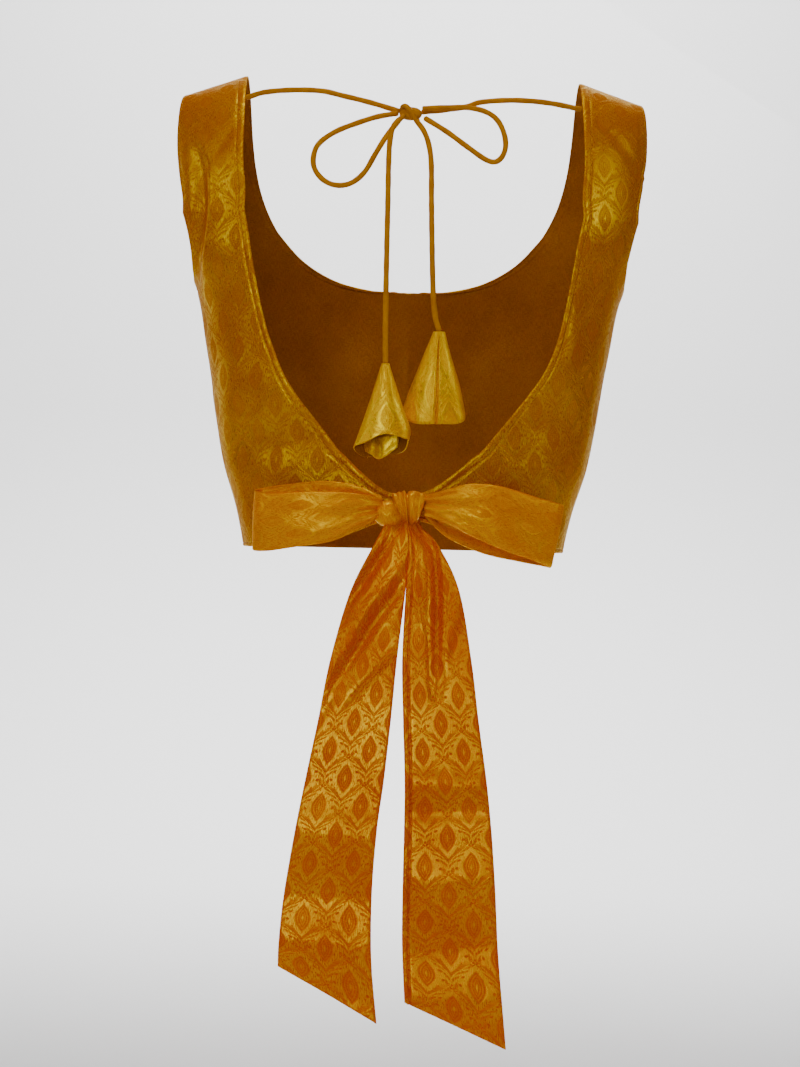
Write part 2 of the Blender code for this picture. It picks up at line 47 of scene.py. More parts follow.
camera_data = bpy.data.cameras.new("camera")
camera_data.lens = CAMERA_LENS
camera_data.sensor_width = 36.0
camera = bpy.data.objects.new("camera", camera_data)
camera.matrix_world = (
    Matrix.Translation(CAMERA_PLACE)
    @ Matrix.Rotation(math.pi, 4, "Z")
    @ Matrix.Rotation(math.pi / 2, 4, "X")
    @ Matrix.Rotation(math.radians(CAMERA_ROLL), 4, "Z")
)
bpy.context.scene.collection.objects.link(camera)
bpy.context.scene.camera = camera

# Dori: a thin tie of bias-cut silk, sewn into a round tube 4 mm through. Each end is caught in a
# strap's neck edge, and the two are tied in a small bow that hangs free over the open back.
DORI_RADIUS = 0.0020
DORI_SIDES = 14
DORI_STEP = 0.0016
# The tube is hand turned: how much its thickness varies, and how fast, in radians a metre
DORI_UNEVEN = 0.035
DORI_UNEVEN_PACE = 410
# A cut end is rounded over: how far out its last ring stands and how wide that is, in radii
END_REACH = 0.35
END_RADIUS = 0.55
DORI_ROUTES = {
    "dori_strand_left": (
        (0.1219, 0.0440, -0.0148),
        (0.1085, 0.0510, -0.0118),
        (0.0873, 0.0585, -0.0109),
        (0.0664, 0.0635, -0.0120),
        (0.0517, 0.0662, -0.0154),
        (0.0313, 0.0685, -0.0203),
        (0.0100, 0.0706, -0.0265),
    ),
    "dori_strand_right": (
        (-0.1229, 0.0449, -0.0181),
        (-0.0990, 0.0540, -0.0155),
        (-0.0739, 0.0610, -0.0152),
        (-0.0499, 0.0652, -0.0177),
        (-0.0376, 0.0668, -0.0218),
        (-0.0200, 0.0685, -0.0250),
        (-0.0069, 0.0706, -0.0267),
    ),
    "dori_bow_left": (
        (0.0113, 0.0752, -0.0288),
        (0.0259, 0.0785, -0.0322),
        (0.0408, 0.0810, -0.0377),
        (0.0558, 0.0820, -0.0443),
        (0.0667, 0.0830, -0.0526),
        (0.0705, 0.0840, -0.0610),
        (0.0702, 0.0850, -0.0702),
        (0.0649, 0.0870, -0.0782),
        (0.0569, 0.0880, -0.0828),
        (0.0476, 0.0885, -0.0831),
        (0.0398, 0.0880, -0.0794),
        (0.0328, 0.0870, -0.0719),
        (0.0261, 0.0845, -0.0593),
        (0.0183, 0.0800, -0.0455),
        (0.0103, 0.0752, -0.0345),
    ),
    "dori_bow_right": (
        (-0.0072, 0.0765, -0.0252),
        (-0.0244, 0.0770, -0.0242),
        (-0.0396, 0.0775, -0.0240),
        (-0.0518, 0.0780, -0.0265),
        (-0.0602, 0.0790, -0.0320),
        (-0.0654, 0.0810, -0.0414),
        (-0.0671, 0.0830, -0.0517),
        (-0.0646, 0.0850, -0.0599),
        (-0.0596, 0.0860, -0.0638),
        (-0.0524, 0.0860, -0.0620),
        (-0.0401, 0.0840, -0.0535),
        (-0.0248, 0.0810, -0.0423),
        (-0.0088, 0.0770, -0.0322),
    ),
    "dori_hang_left": (
        (0.0065, 0.0804, -0.0312),
        (0.0135, 0.0865, -0.0395),
        (0.0160, 0.0905, -0.0505),
        (0.0166, 0.0935, -0.0678),
        (0.0165, 0.0975, -0.0942),
        (0.0165, 0.1010, -0.1232),
        (0.0164, 0.1030, -0.1590),
        (0.0162, 0.1040, -0.1875),
        (0.0156, 0.1040, -0.2108),
    ),
    "dori_hang_right": (
        (-0.0025, 0.0785, -0.0342),
        (-0.0080, 0.0815, -0.0420),
        (-0.0118, 0.0845, -0.0520),
        (-0.0139, 0.0880, -0.0665),
        (-0.0146, 0.0910, -0.0927),
        (-0.0156, 0.0920, -0.1214),
        (-0.0172, 0.0910, -0.1571),
        (-0.0192, 0.0895, -0.1760),
        (-0.0221, 0.0890, -0.1858),
    ),
}
# The knot: its middle, the half size and squareness of its packed core, and the turn of cord across
# it, which is pulled a little thinner
DORI_KNOT = (0.0016, 0.0745, -0.0288)
DORI_KNOT_CORE = (0.0082, 0.0050, 0.0048)
DORI_KNOT_SQUARE = 2.2
DORI_KNOT_STEP = 0.0008
DORI_KNOT_RADIUS = DORI_RADIUS * 0.92
DORI_KNOT_TURN = (
    (0.0052, -0.0040, 0.0010),
    (0.0062, 0.0000, 0.0042),
    (0.0040, 0.0042, 0.0048),
    (0.0008, 0.0062, 0.0020),
    (-0.0020, 0.0060, -0.0022),
    (-0.0040, 0.0036, -0.0052),
    (-0.0050, -0.0010, -0.0050),
    (-0.0044, -0.0044, -0.0020),
)


def silk_colour(red, green, blue):
    """A colour given as the 0 to 255 values of a screen, as a shader takes it."""
    return (*(((c / 255 + 0.055) / 1.055) ** 2.4 for c in (red, green, blue)), 1.0)


def smooth_rows(rows, places):
    """The rows read at these places (0 is the first row, 1 the second) along a Catmull-Rom curve."""
    rows = np.asarray(rows, float)
    places = np.clip(np.asarray(places, float), 0.0, len(rows) - 1.0)
    first = np.minimum(places.astype(int), len(rows) - 2)
    part = (places - first)[..., None]
    padded = np.vstack([2 * rows[0] - rows[1], rows, 2 * rows[-1] - rows[-2]])
    before, start, end, after = (padded[first + k] for k in range(4))
    return 0.5 * (
        2 * start
        + (end - before) * part
        + (2 * before - 5 * start + 4 * end - after) * part**2
        + (3 * start - before - 3 * end + after) * part**3
    )


def run_along(points):
    """Length of the path up to each of its points."""
    return np.concatenate([[0.0], np.cumsum(np.linalg.norm(np.diff(points, axis=0), axis=1))])


def even_path(route, step):
    """Points about a step apart along a smooth curve through the route."""
    samples = 40 * len(route)
    fine = smooth_rows(route, np.linspace(0, len(route) - 1, samples))
    run = run_along(fine)
    wanted = np.linspace(0, run[-1], max(3, round(run[-1] / step) + 1))
    return np.stack([np.interp(wanted, run, fine[:, k]) for k in range(3)], axis=-1)


def grid_normals(points):
    """The direction that a grid of points faces at each of them."""
    normals = np.cross(np.gradient(points, axis=0), np.gradient(points, axis=1))
    return normals / np.maximum(np.linalg.norm(normals, axis=-1, keepdims=True), 1e-12)


def cloth_piece(name, grids, cloths, shell=0.0):
    """One object from grids of (points, weave, inside, closed, capped): points of each surface, its UV in
    metres, points that it faces away from, and whether its columns join and its end rows are filled."""
    builder = bmesh.new()
    layer = builder.loops.layers.uv.new("weave")
    for points, weave, inside, closed, capped in grids:
        rows, columns = points.shape[:2]
        flip = (grid_normals(points) * (points - inside)).sum() < 0
        verts = [[builder.verts.new(point) for point in row] for row in points]
        for i in range(rows - 1):
            for j in range(columns if closed else columns - 1):
                spots = [(i, j), (i + 1, j), (i + 1, j + 1), (i, j + 1)]
                if flip:
                    spots.reverse()
                face = builder.faces.new([verts[a][b % columns] for a, b in spots])
                for loop, (a, b) in zip(face.loops, spots):
                    loop[layer].uv = weave[a][b]
        for i, turned in ((0, False), (rows - 1, True)) if capped else ():
            ring = verts[i] if flip == turned else verts[i][::-1]
            face = builder.faces.new(ring)
            for loop in face.loops:
                loop[layer].uv = weave[i][0]
    bmesh.ops.remove_doubles(builder, verts=builder.verts, dist=1e-6)
    mesh = bpy.data.meshes.new(name)
    builder.to_mesh(mesh)
    builder.free()
    mesh.shade_smooth()
    piece = bpy.data.objects.new(name, mesh)
    bpy.context.scene.collection.objects.link(piece)
    for cloth in cloths:
        mesh.materials.append(cloth)
    if shell:
        wall = piece.modifiers.new("cloth", "SOLIDIFY")
        wall.thickness = shell
        wall.offset = -1.0
        wall.use_quality_normals = True
        wall.material_offset = len(cloths) - 1
    return piece


def tube_grid(path, radius, sides):
    """Points round a path, without twist, and the weave's UV: round the tube and along it, in metres."""
    along = np.gradient(path, axis=0)
    along /= np.linalg.norm(along, axis=1, keepdims=True)
    on_no_path = (0.31, 0.83, 0.47)
    across = [np.cross(along[0], on_no_path)]
    for direction in along:
        turned = across[-1] - direction * across[-1].dot(direction)
        across.append(turned / np.linalg.norm(turned))
    across = np.array(across[1:])
    up = np.cross(along, across)
    turn = np.linspace(0, 2 * math.pi, sides + 1)
    radius = np.broadcast_to(radius, len(path))[:, None, None]
    spread = across[:, None] * np.cos(turn[:-1, None]) + up[:, None] * np.sin(turn[:-1, None])
    weave = np.stack(
        np.broadcast_arrays(turn * radius.mean(), run_along(path)[:, None]), axis=-1
    )
    return path[:, None] + radius * spread, weave


def with_round_ends(path, radius):
    """The path with an end point more at each end, and a radius that closes in there."""
    reach = radius * END_REACH
    first = path[0] + (path[0] - path[1]) / np.linalg.norm(path[0] - path[1]) * reach
    last = path[-1] + (path[-1] - path[-2]) / np.linalg.norm(path[-1] - path[-2]) * reach
    radii = np.full(len(path) + 2, radius)
    radii[[0, -1]] = radius * END_RADIUS
    return np.vstack([first, path, last]), radii


def packed_lump(centre, half, square, rings=18, sides=32):
    """Points of a rounded block, as tightly packed cloth, with UV in metres."""
    top = math.pi / 2 - 0.05
    rise = np.linspace(-top, top, rings)[:, None]
    turn = np.linspace(0, 2 * math.pi, sides + 1)[None, :]
    around = [np.cos(rise) * np.cos(turn), np.cos(rise) * np.sin(turn), np.sin(rise) + 0 * turn]
    reach = sum(np.abs(a / h) ** square for a, h in zip(around, half)) ** (-1.0 / square)
    points = np.stack([a * reach for a in around], axis=-1) + np.asarray(centre)
    weave = np.stack(np.broadcast_arrays(turn * half[0], rise * half[2]), axis=-1)
    return points[:, :-1], weave


class Shade:
    """A socket of a shader's nodes. Sums, products and powers of it add Math nodes."""

    def __init__(self, tree, socket):
        self.tree = tree
        self.socket = socket

    def node(self, kind, settings, inputs, output=0):
        """Any other node: its settings first, then the value or link of each socket."""
        made = self.tree.nodes.new(kind)
        for name, value in settings.items():
            setattr(made, name, value)
        for key, value in inputs.items():
            if isinstance(value, Shade):
                self.tree.links.new(value.socket, made.inputs[key])
            else:
                made.inputs[key].default_value = value
        return Shade(self.tree, made.outputs[output])

    def math(self, operation, *others):
        numbers = dict(enumerate((self, *others)))
        return self.node("ShaderNodeMath", {"operation": operation}, numbers)

    def __add__(self, other):
        return self.math("ADD", other)

    def __sub__(self, other):
        return self.math("SUBTRACT", other)

    def __rsub__(self, other):
        return self.node("ShaderNodeMath", {"operation": "SUBTRACT"}, {0: other, 1: self})

    def __mul__(self, other):
        return self.math("MULTIPLY", other)

    __radd__ = __add__
    __rmul__ = __mul__

    def step(self, start, end):
        """0 at start and 1 at end, easing in and out between them."""
        reach = {"Value": self, "From Min": start, "From Max": end}
        return self.node("ShaderNodeMapRange", {"interpolation_type": "SMOOTHSTEP"}, reach)

    def wave(self, length):
        """A cosine of this wavelength, from 0 to 1."""
        return (self * (2 * math.pi / length)).math("COSINE") * 0.5 + 0.5

    def colour(self, low, high):
        """The first colour where this is 0 and the second where it is 1."""
        return self.node("ShaderNodeMix", {"data_type": "RGBA"}, {0: self, 6: low, 7: high}, 2)


def empty_material(name):
    """A material with its output alone, and a Shade to build from."""
    made = bpy.data.materials.new(name)
    made.use_nodes = True
    made.node_tree.nodes.clear()
    return made, made.node_tree.nodes.new("ShaderNodeOutputMaterial"), Shade(made.node_tree, None)


def in_millimetres(uv):
    """The two parts of a UV map that is in metres."""
    split = uv.node("ShaderNodeSeparateXYZ", {}, {0: uv})
    return split * 1000.0, Shade(split.tree, split.socket.node.outputs[1]) * 1000.0


def plain_silk(name, deep, bright, roughness, metallic):
    """Plain silk cut on the bias: fine slanting threads over a slow change of colour."""
    made, output, start = empty_material(name)
    uv = start.node("ShaderNodeUVMap", {"uv_map": "weave"}, {})
    across, along = in_millimetres(uv)
    rib = (across + along * 0.9).wave(0.9)
    cloud = start.node(
        "ShaderNodeTexNoise", {}, {"Vector": uv, "Scale": 90.0, "Detail": 3.0, "Roughness": 0.6}
    )
    tone = (rib * 0.35 + cloud * 1.1 - 0.25).step(0.0, 1.0)
    relief = start.node(
        "ShaderNodeBump", {}, {"Strength": 0.35, "Distance": 0.0003, "Height": rib + cloud * 0.8}
    )
    shader = start.node(
        "ShaderNodeBsdfPrincipled",
        {},
        {
            "Base Color": tone.colour(deep, bright),
            "Roughness": tone * -0.12 + (roughness + 0.06),
            "Metallic": metallic,
            "Specular IOR Level": 0.05,
            "Normal": relief,
        },
    )
    made.node_tree.links.new(shader.socket, output.inputs["Surface"])
    return made


cord_silk = plain_silk(
    "amber bias silk",
    deep=silk_colour(176, 104, 0),
    bright=silk_colour(214, 144, 0),
    roughness=0.55,
    metallic=0.05,
)
dori_pieces = []
for dori_name, dori_route in DORI_ROUTES.items():
    dori_line, dori_radii = with_round_ends(even_path(dori_route, DORI_STEP), DORI_RADIUS)
    swell = np.sin(run_along(dori_line) * DORI_UNEVEN_PACE + len(dori_pieces))
    dori_radii = dori_radii * (1 + DORI_UNEVEN * swell)
    dori_points, dori_weave = tube_grid(dori_line, dori_radii, DORI_SIDES)
    dori_piece = cloth_piece(
        dori_name + "_tube",
        [(dori_points, dori_weave, dori_line[:, None], True, True)],
        [cord_silk],
    )
    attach(dori_piece, "root")
    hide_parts(dori_name)
    dori_pieces.append((dori_piece, dori_route[0], dori_line))

core_points, core_weave = packed_lump(DORI_KNOT, DORI_KNOT_CORE, DORI_KNOT_SQUARE)
turn_line, turn_radii = with_round_ends(even_path(DORI_KNOT_TURN, DORI_KNOT_STEP), DORI_KNOT_RADIUS)
turn_line = turn_line + np.asarray(DORI_KNOT)
turn_points, turn_weave = tube_grid(turn_line, turn_radii, DORI_SIDES)
dori_knot = cloth_piece(
    "dori_knot_turns",
    [
        (core_points, core_weave, np.asarray(DORI_KNOT), True, True),
        (turn_points, turn_weave, turn_line[:, None], True, True),
    ],
    [cord_silk],
)
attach(dori_knot, "root")
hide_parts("dori_knot")

# Body cloth: shot silk jacquard, gold satin ground with a matte orange figure of pointed leaves in
# a half-drop lattice, 32 mm wide and 40 mm high. The ground shines where light falls on it.
REPEAT_WIDE = 32.0
REPEAT_HIGH = 40.0
LEAF_HALF_WIDTH = 5.8
LEAF_HALF_HEIGHT = 10.4
CONTOUR_SPACING = 1.55
# Bare ground that is kept round each pointed leaf
HALO_HALF_WIDTH = 8.6
HALO_HALF_HEIGHT = 14.5
FEATHER_WIDTH = 3.4
FEATHER_SPACING = 4.4
SPRIG_SPACING = 5.2
FAN_SPACING = 2.8
BERRY_SPACING = 5.8
VEIN_SPACING = 1.5
# How many floats of thread lie side by side, across and along, in a metre of ground and of figure
GROUND_FLOATS = (1500.0, 330.0, 1.0)
FIGURE_FLOATS = (420.0, 1300.0, 1.0)


def jacquard(name, deep, lit, gold, shine, figure_shine, slope):
    """Shot silk. Deep and lit are its body colours and gold that of its shine, which its ground has more of
    than its figure. Slope is how far the floats of the two tilt apart."""
    made, output, start = empty_material(name)
    uv = start.node("ShaderNodeUVMap", {"uv_map": "weave"}, {})
    drift = start.node("ShaderNodeTexNoise", {}, {"Vector": uv, "Scale": 60.0, "Detail": 1.0})
    across, along = in_millimetres(uv)
    across = across + (drift - 0.5) * 1.6
    along = along + (drift - 0.5) * -1.4

    # Which of the two interlocked rows of ogees a point is in, and its place there
    first_x = across.math("WRAP", REPEAT_WIDE / 2, -REPEAT_WIDE / 2).math("ABSOLUTE")
    first_border = along.wave(REPEAT_HIGH) * (REPEAT_WIDE / 2)
    second = first_x.math("GREATER_THAN", first_border)
    leaf_x = across + second * (REPEAT_WIDE / 2)
    leaf_x = leaf_x.math("WRAP", REPEAT_WIDE / 2, -REPEAT_WIDE / 2).math("ABSOLUTE")
    leaf_y = along + second * (REPEAT_HIGH / 2)
    leaf_y = leaf_y.math("WRAP", REPEAT_HIGH / 2, -REPEAT_HIGH / 2)
    tall = leaf_y.math("ABSOLUTE")
    swell = leaf_y.wave(REPEAT_HIGH)
    from_border = (swell * (REPEAT_WIDE / 2) - leaf_x) * (swell * swell * 0.2 + 0.66)

    # Pointed leaf with contour lines inside it, and a small eye
    outline = (leaf_y * (math.pi / 2 / LEAF_HALF_HEIGHT)).math("COSINE") * LEAF_HALF_WIDTH
    in_reach = tall.step(LEAF_HALF_HEIGHT + 0.2, LEAF_HALF_HEIGHT - 0.2)
    inside = (outline - leaf_x) * 0.84
    contours = (inside + 0.5).wave(CONTOUR_SPACING) * 0.45 + 0.55
    leaf = inside.step(-0.25, 0.25) * in_reach * contours
    eye = (leaf_x + tall * 0.35).step(1.3, 0.8)
    halo_outline = (leaf_y * (math.pi / 2 / HALO_HALF_HEIGHT)).math("COSINE") * HALO_HALF_WIDTH
    halo_reach = tall.step(HALO_HALF_HEIGHT + 0.1, HALO_HALF_HEIGHT - 0.3)
    halo = (halo_outline - leaf_x).step(-0.3, 0.3) * halo_reach

    # Broad feathered leaves that meet in a V under each pointed leaf
    low = leaf_y.step(-2.0, -9.0)
    leaf_width = low * FEATHER_WIDTH + leaf_y.wave(FEATHER_SPACING) * 1.1 + 0.2
    feathers = from_border.step(0.2, 0.6) * (leaf_width - from_border).step(-0.2, 0.3) * low
    # Small leaves that climb the upper half of each border, a fan over the top, and berries
    sprig = (from_border * 1.4 - leaf_y).wave(SPRIG_SPACING).step(0.35, 0.6)
    sprig = sprig * from_border.step(0.2, 0.6) * from_border.step(3.6, 2.8) * (1 - low)
    fan = (leaf_x * 0.9 - tall).wave(FAN_SPACING).step(0.3, 0.6) * leaf_y.step(12.5, 14.0)
    dot_y = (leaf_y + 1.2).math("WRAP", BERRY_SPACING / 2, -BERRY_SPACING / 2)
    berry = (dot_y * dot_y + (from_border - 4.5) * (from_border - 4.5)).step(1.2, 0.6)
    berry = berry * leaf_y.step(-8.0, -7.0)
    veins = (from_border + leaf_y * 0.55).wave(VEIN_SPACING) * 0.5 + 0.5
    vine = (feathers * veins).math("MAXIMUM", sprig * veins).math("MAXIMUM", fan)
    figure = (vine.math("MAXIMUM", berry) * (1 - halo)).math("MAXIMUM", leaf * (1 - eye * 0.8))

    # Long floats of thread: down the cloth on the ground, across it on the figure
    down = start.node("ShaderNodeMapping", {}, {"Vector": uv, "Scale": GROUND_FLOATS})
    over = start.node("ShaderNodeMapping", {}, {"Vector": uv, "Scale": FIGURE_FLOATS})
    ground_thread = start.node("ShaderNodeTexNoise", {}, {"Vector": down, "Scale": 1.0, "Detail": 3.0})
    figure_thread = start.node("ShaderNodeTexNoise", {}, {"Vector": over, "Scale": 1.0, "Detail": 3.0})
    patch = start.node("ShaderNodeTexNoise", {}, {"Vector": uv, "Scale": 24.0, "Detail": 2.0})
    thread = (ground_thread * (1 - figure) + figure_thread * figure).step(0.25, 0.75)

    # The floats of ground and figure lie at different slopes, so each catches the light in its turn
    tilt_up = (figure * (-2 * slope) + slope) * 0.5 + (thread - 0.5) * 0.06 + 0.5
    tilt_over = (thread - 0.5) * -0.05 + 0.5
    facing = start.node("ShaderNodeCombineXYZ", {}, {0: tilt_over, 1: tilt_up, 2: 1.0})
    leaning = start.node("ShaderNodeNormalMap", {"uv_map": "weave"}, {"Color": facing, "Strength": 1.0})
    relief = start.node(
        "ShaderNodeBump",
        {},
        {
            "Strength": 0.4,
            "Distance": 0.0005,
            "Height": figure * -0.6 + thread * 0.08,
            "Normal": leaning,
        },
    )

    tone = (thread * 0.55 + patch * 0.6 - figure * 0.20).step(0.0, 0.9)
    body = start.node(
        "ShaderNodeBsdfPrincipled",
        {},
        {
            "Base Color": tone.colour(deep, lit),
            "Roughness": figure * 0.15 + 0.62,
            "Specular IOR Level": 0.0,
            "Normal": relief,
        },
    )
    satin = start.node(
        "ShaderNodeBsdfPrincipled",
        {},
        {
            "Base Color": (thread * 0.3 + 0.7).colour(lit, gold),
            "Metallic": 1.0,
            "Roughness": figure * 0.10 + (thread * 0.10 + 0.25),
            "Normal": relief,
        },
    )
    gloss = (1 - figure) * (shine - figure_shine) + figure_shine
    gloss = gloss * (thread * 0.8 + 0.5) * (patch.step(0.3, 0.7) * 0.5 + 0.75)
    cloth = start.node("ShaderNodeMixShader", {}, {0: gloss, 1: body, 2: satin})
    made.node_tree.links.new(cloth.socket, output.inputs["Surface"])
    return made


body_silk = jacquard(
    "gold jacquard silk",
    deep=silk_colour(170, 76, 0),
    lit=silk_colour(190, 96, 0),
    gold=silk_colour(255, 232, 0),
    shine=0.29,
    figure_shine=0.12,
    slope=0.07,
)
wrong_side = jacquard(
    "wrong side of the silk",
    deep=silk_colour(140, 74, 6),
    lit=silk_colour(166, 96, 12),
    gold=silk_colour(214, 150, 10),
    shine=0.02,
    figure_shine=0.10,
    slope=0.0,
)

# Hollow form that the cloth keeps when it is worn, and the panels' seams and edges on it. The
# rings run from the hem up: half_width, back_depth, front_depth.
HEM = -0.3440
UNDERARM = -0.1525
SHOULDER_BASE = -0.1000
CROWN = 0.0100
STRAP_INNER = 0.1240
CROWN_AT_INNER = 0.0080
CROWN_SLOPE = -1.0 / 3.0
RINGS = (
    (0.1192, 0.0740, 0.0880),
    (0.1260, 0.0730, 0.0890),
    (0.1355, 0.0750, 0.0920),
    (0.1413, 0.0790, 0.0955),
    (0.1458, 0.0830, 0.0985),
    (0.1512, 0.0870, 0.0985),
    (0.1566, 0.0895, 0.0965),
    (0.1668, 0.0910, 0.0925),
    (0.1800, 0.0900, 0.0860),
)
RING_STEP = (SHOULDER_BASE - HEM) / (len(RINGS) - 1)
ROUNDNESS = 0.8333
SIDE_SEAM = 1.0
SEAM_GAP = 0.0006
BODY_CLOTH = 0.0011
# A point inside the hollow form, which the cloth faces away from
BODY_MIDDLE = np.array([0.0, 0.0, -0.2])
# Rungs across a panel, from the shoulder seam down: inner_x, inner_z, outer_x, outer_z
BACK_RUNGS = (
    (STRAP_INNER, CROWN, 0.1715, CROWN),
    (0.1236, -0.0120, 0.1742, -0.0220),
    (0.1240, -0.0360, 0.1744, -0.0460),
    (0.1239, -0.0620, 0.1716, -0.0700),
    (0.1220, -0.0880, 0.1680, -0.0920),
    (0.1187, -0.1170, 0.1645, -0.1110),
    (0.1158, -0.1370, 0.1612, -0.1290),
    (0.1124, -0.1580, 0.1602, -0.1440),
    (0.1078, -0.1780, SIDE_SEAM, UNDERARM),
    (0.1017, -0.1970, SIDE_SEAM, -0.1820),
    (0.0932, -0.2160, SIDE_SEAM, -0.2160),
    (0.0819, -0.2340, SIDE_SEAM, -0.2520),
    (0.0703, -0.2495, SIDE_SEAM, -0.2880),
    (0.0600, -0.2620, SIDE_SEAM, -0.3200),
    (0.0514, -0.2720, SIDE_SEAM, HEM),
    (0.0450, -0.2775, 0.1100, HEM),
    (0.0386, -0.2835, 0.0850, -0.3435),
    (0.0298, -0.2910, 0.0560, -0.3395),
    (0.0205, -0.2980, 0.0340, -0.3310),
    (0.0110, -0.3025, 0.0170, -0.3240),
    (0.0000, -0.3045, 0.0000, -0.3210),
)
FRONT_RUNGS = (
    (STRAP_INNER, CROWN, 0.1715, CROWN),
    (0.1234, -0.0120, 0.1742, -0.0220),
    (0.1222, -0.0360, 0.1744, -0.0460),
    (0.1190, -0.0590, 0.1716, -0.0700),
    (0.1125, -0.0810, 0.1680, -0.0920),
    (0.1010, -0.1020, 0.1645, -0.1110),
    (0.0825, -0.1210, 0.1612, -0.1290),
    (0.0580, -0.1345, 0.1602, -0.1440),
    (0.0300, -0.1412, SIDE_SEAM, UNDERARM),
    (0.0110, -0.1428, SIDE_SEAM, -0.1590),
    (0.0000, -0.1430, SIDE_SEAM, -0.1640),
    (0.0000, -0.1470, SIDE_SEAM, -0.1690),
    (0.0000, -0.1640, SIDE_SEAM, -0.1880),
    (0.0000, -0.1870, SIDE_SEAM, -0.2100),
    (0.0000, -0.2100, SIDE_SEAM, -0.2300),
    (0.0000, -0.2330, SIDE_SEAM, -0.2500),
    (0.0000, -0.2560, SIDE_SEAM, -0.2700),
    (0.0000, -0.2790, SIDE_SEAM, -0.2890),
    (0.0000, -0.3020, SIDE_SEAM, -0.3080),
    (0.0000, -0.3240, SIDE_SEAM, -0.3260),
    (0.0000, HEM, SIDE_SEAM, HEM),
)
# The bow pulls the back neckline this much to one side, most at the middle of its length
NECK_LEAN = 0.0035
# Rungs where a panel's finished edges end or start. The back's neckline takes in all its rungs. The
# front's hem is its last rung, so none of its outer edge is hem.
ARMHOLE_END = 8
BACK_NECK_END = len(BACK_RUNGS)
BACK_HEM_START = 14
FRONT_NECK_END = 10
FRONT_HEM_START = len(FRONT_RUNGS)
# Columns near an edge, by distance from it in metres: they carry its turned lip and its stitch line
EDGE_COLUMNS = (0.0, 0.0005, 0.0011, 0.0019, 0.0028, 0.0036, 0.0041, 0.0045, 0.0049, 0.0056, 0.0068)
STITCH_COLUMN = 7
STITCH_LIFT = 0.0003
# Where a piece is narrower than this, those columns crowd together
LEAST_WIDTH = 0.026
MIDDLE_COLUMNS = 26
RUNG_SPLITS = 7
# Two more rows close under the shoulder seam, for its groove
SHOULDER_ROWS = (0.02, 0.07)
# A turned and stitched edge: height, distance from the edge and half width of each part of it
EDGE_ROLL = (-0.00060, 0.0, 0.0006)
EDGE_LIP = (0.00040, 0.0022, 0.0018)
EDGE_GROOVE = (-0.00070, 0.0045, 0.0006)
EDGE_SWELL = (0.00025, 0.0062, 0.0012)
SEAM_GROOVE = (-0.0007, 0.0, 0.0014)
# The iron has pressed it to this share of its height down to the second rung below the shoulder
# seam, and it stands up fully from the eighth on
EDGE_PRESSED = 0.35
EDGE_PRESSED_TO = 2.0
EDGE_FREE_FROM = 8.0


def crown_height(x):
    """Height of the shoulder seam above the origin: it falls towards the armhole."""
    return CROWN_AT_INNER + (x - STRAP_INNER) * CROWN_SLOPE


def form_place(x, z):
    """(angle, rise) on the hollow form of the point seen at x and z; angle 90 degrees is the side seam."""
    level = min(z, SHOULDER_BASE)
    half_width = smooth_rows(RINGS, (level - HEM) / RING_STEP)[0]
    angle = math.asin(min(1.0, max(0.0, x) / half_width) ** (1.0 / ROUNDNESS))
    if z <= SHOULDER_BASE:
        return angle, z
    height = crown_height(x) - SHOULDER_BASE
    return angle, SHOULDER_BASE + height * math.asin(min(1.0, (z - SHOULDER_BASE) / height))


def form_point(angle, rise, facing):
    """Points on the hollow form; facing is 1 on the back and -1 on the front."""
    rings = smooth_rows(RINGS, (np.minimum(rise, SHOULDER_BASE) - HEM) / RING_STEP)
    half_width = rings[..., 0]
    depth = rings[..., 1] if facing > 0 else rings[..., 2]
    x = half_width * np.sin(angle) ** ROUNDNESS
    height = crown_height(x) - SHOULDER_BASE
    over = np.maximum(rise - SHOULDER_BASE, 0.0) / height
    z = np.where(rise > SHOULDER_BASE, SHOULDER_BASE + height * np.sin(over), rise)
    y = facing * depth * np.cos(angle) ** ROUNDNESS * np.cos(over)
    return np.stack([x, y, z], axis=-1)


def weave_place(angle, rise, facing):
    """The cloth's own place of each point: distance round from the middle, and height, both in metres."""
    samples = 40
    turns = angle[..., None] * np.linspace(0, 1, samples)
    line = form_point(turns, np.broadcast_to(rise[..., None], turns.shape), facing)
    around = np.linalg.norm(np.diff(line, axis=-2), axis=-1).sum(axis=-1)
    return np.stack([around, rise], axis=-1)


def crease_lift(points, creases):
    """How far troughs and ridges lift the cloth. Each has a height, a half width and a line of (x, z)
    points, and dies out at both of its ends."""
    x, z = points[..., 0], points[..., 2]
    lift = np.zeros(x.shape)
    for height, half_width, line in creases:
        line = np.asarray(line)
        lengths = np.linalg.norm(np.diff(line, axis=0), axis=1)
        nearest = np.full(x.shape, np.inf)
        along = np.zeros(x.shape)
        run = 0.0
        for start, end, length in zip(line[:-1], line[1:], lengths):
            way = (end - start) / length
            part = np.clip((x - start[0]) * way[0] + (z - start[1]) * way[1], 0.0, length)
            away = np.hypot(x - start[0] - part * way[0], z - start[1] - part * way[1])
            closer = away < nearest
            nearest = np.where(closer, away, nearest)
            along = np.where(closer, run + part, along)
            run += length
        fade = np.sin(math.pi * np.clip(along / run, 0, 1)) ** 0.6
        lift += height * np.exp(-((nearest / half_width) ** 2)) * fade
    return lift


def ridge(distance, shape):
    """Height at this distance of a ridge or groove with this height, place and half width."""
    height, place, half_width = shape
    return height * np.exp(-(((distance - place) / half_width) ** 2))


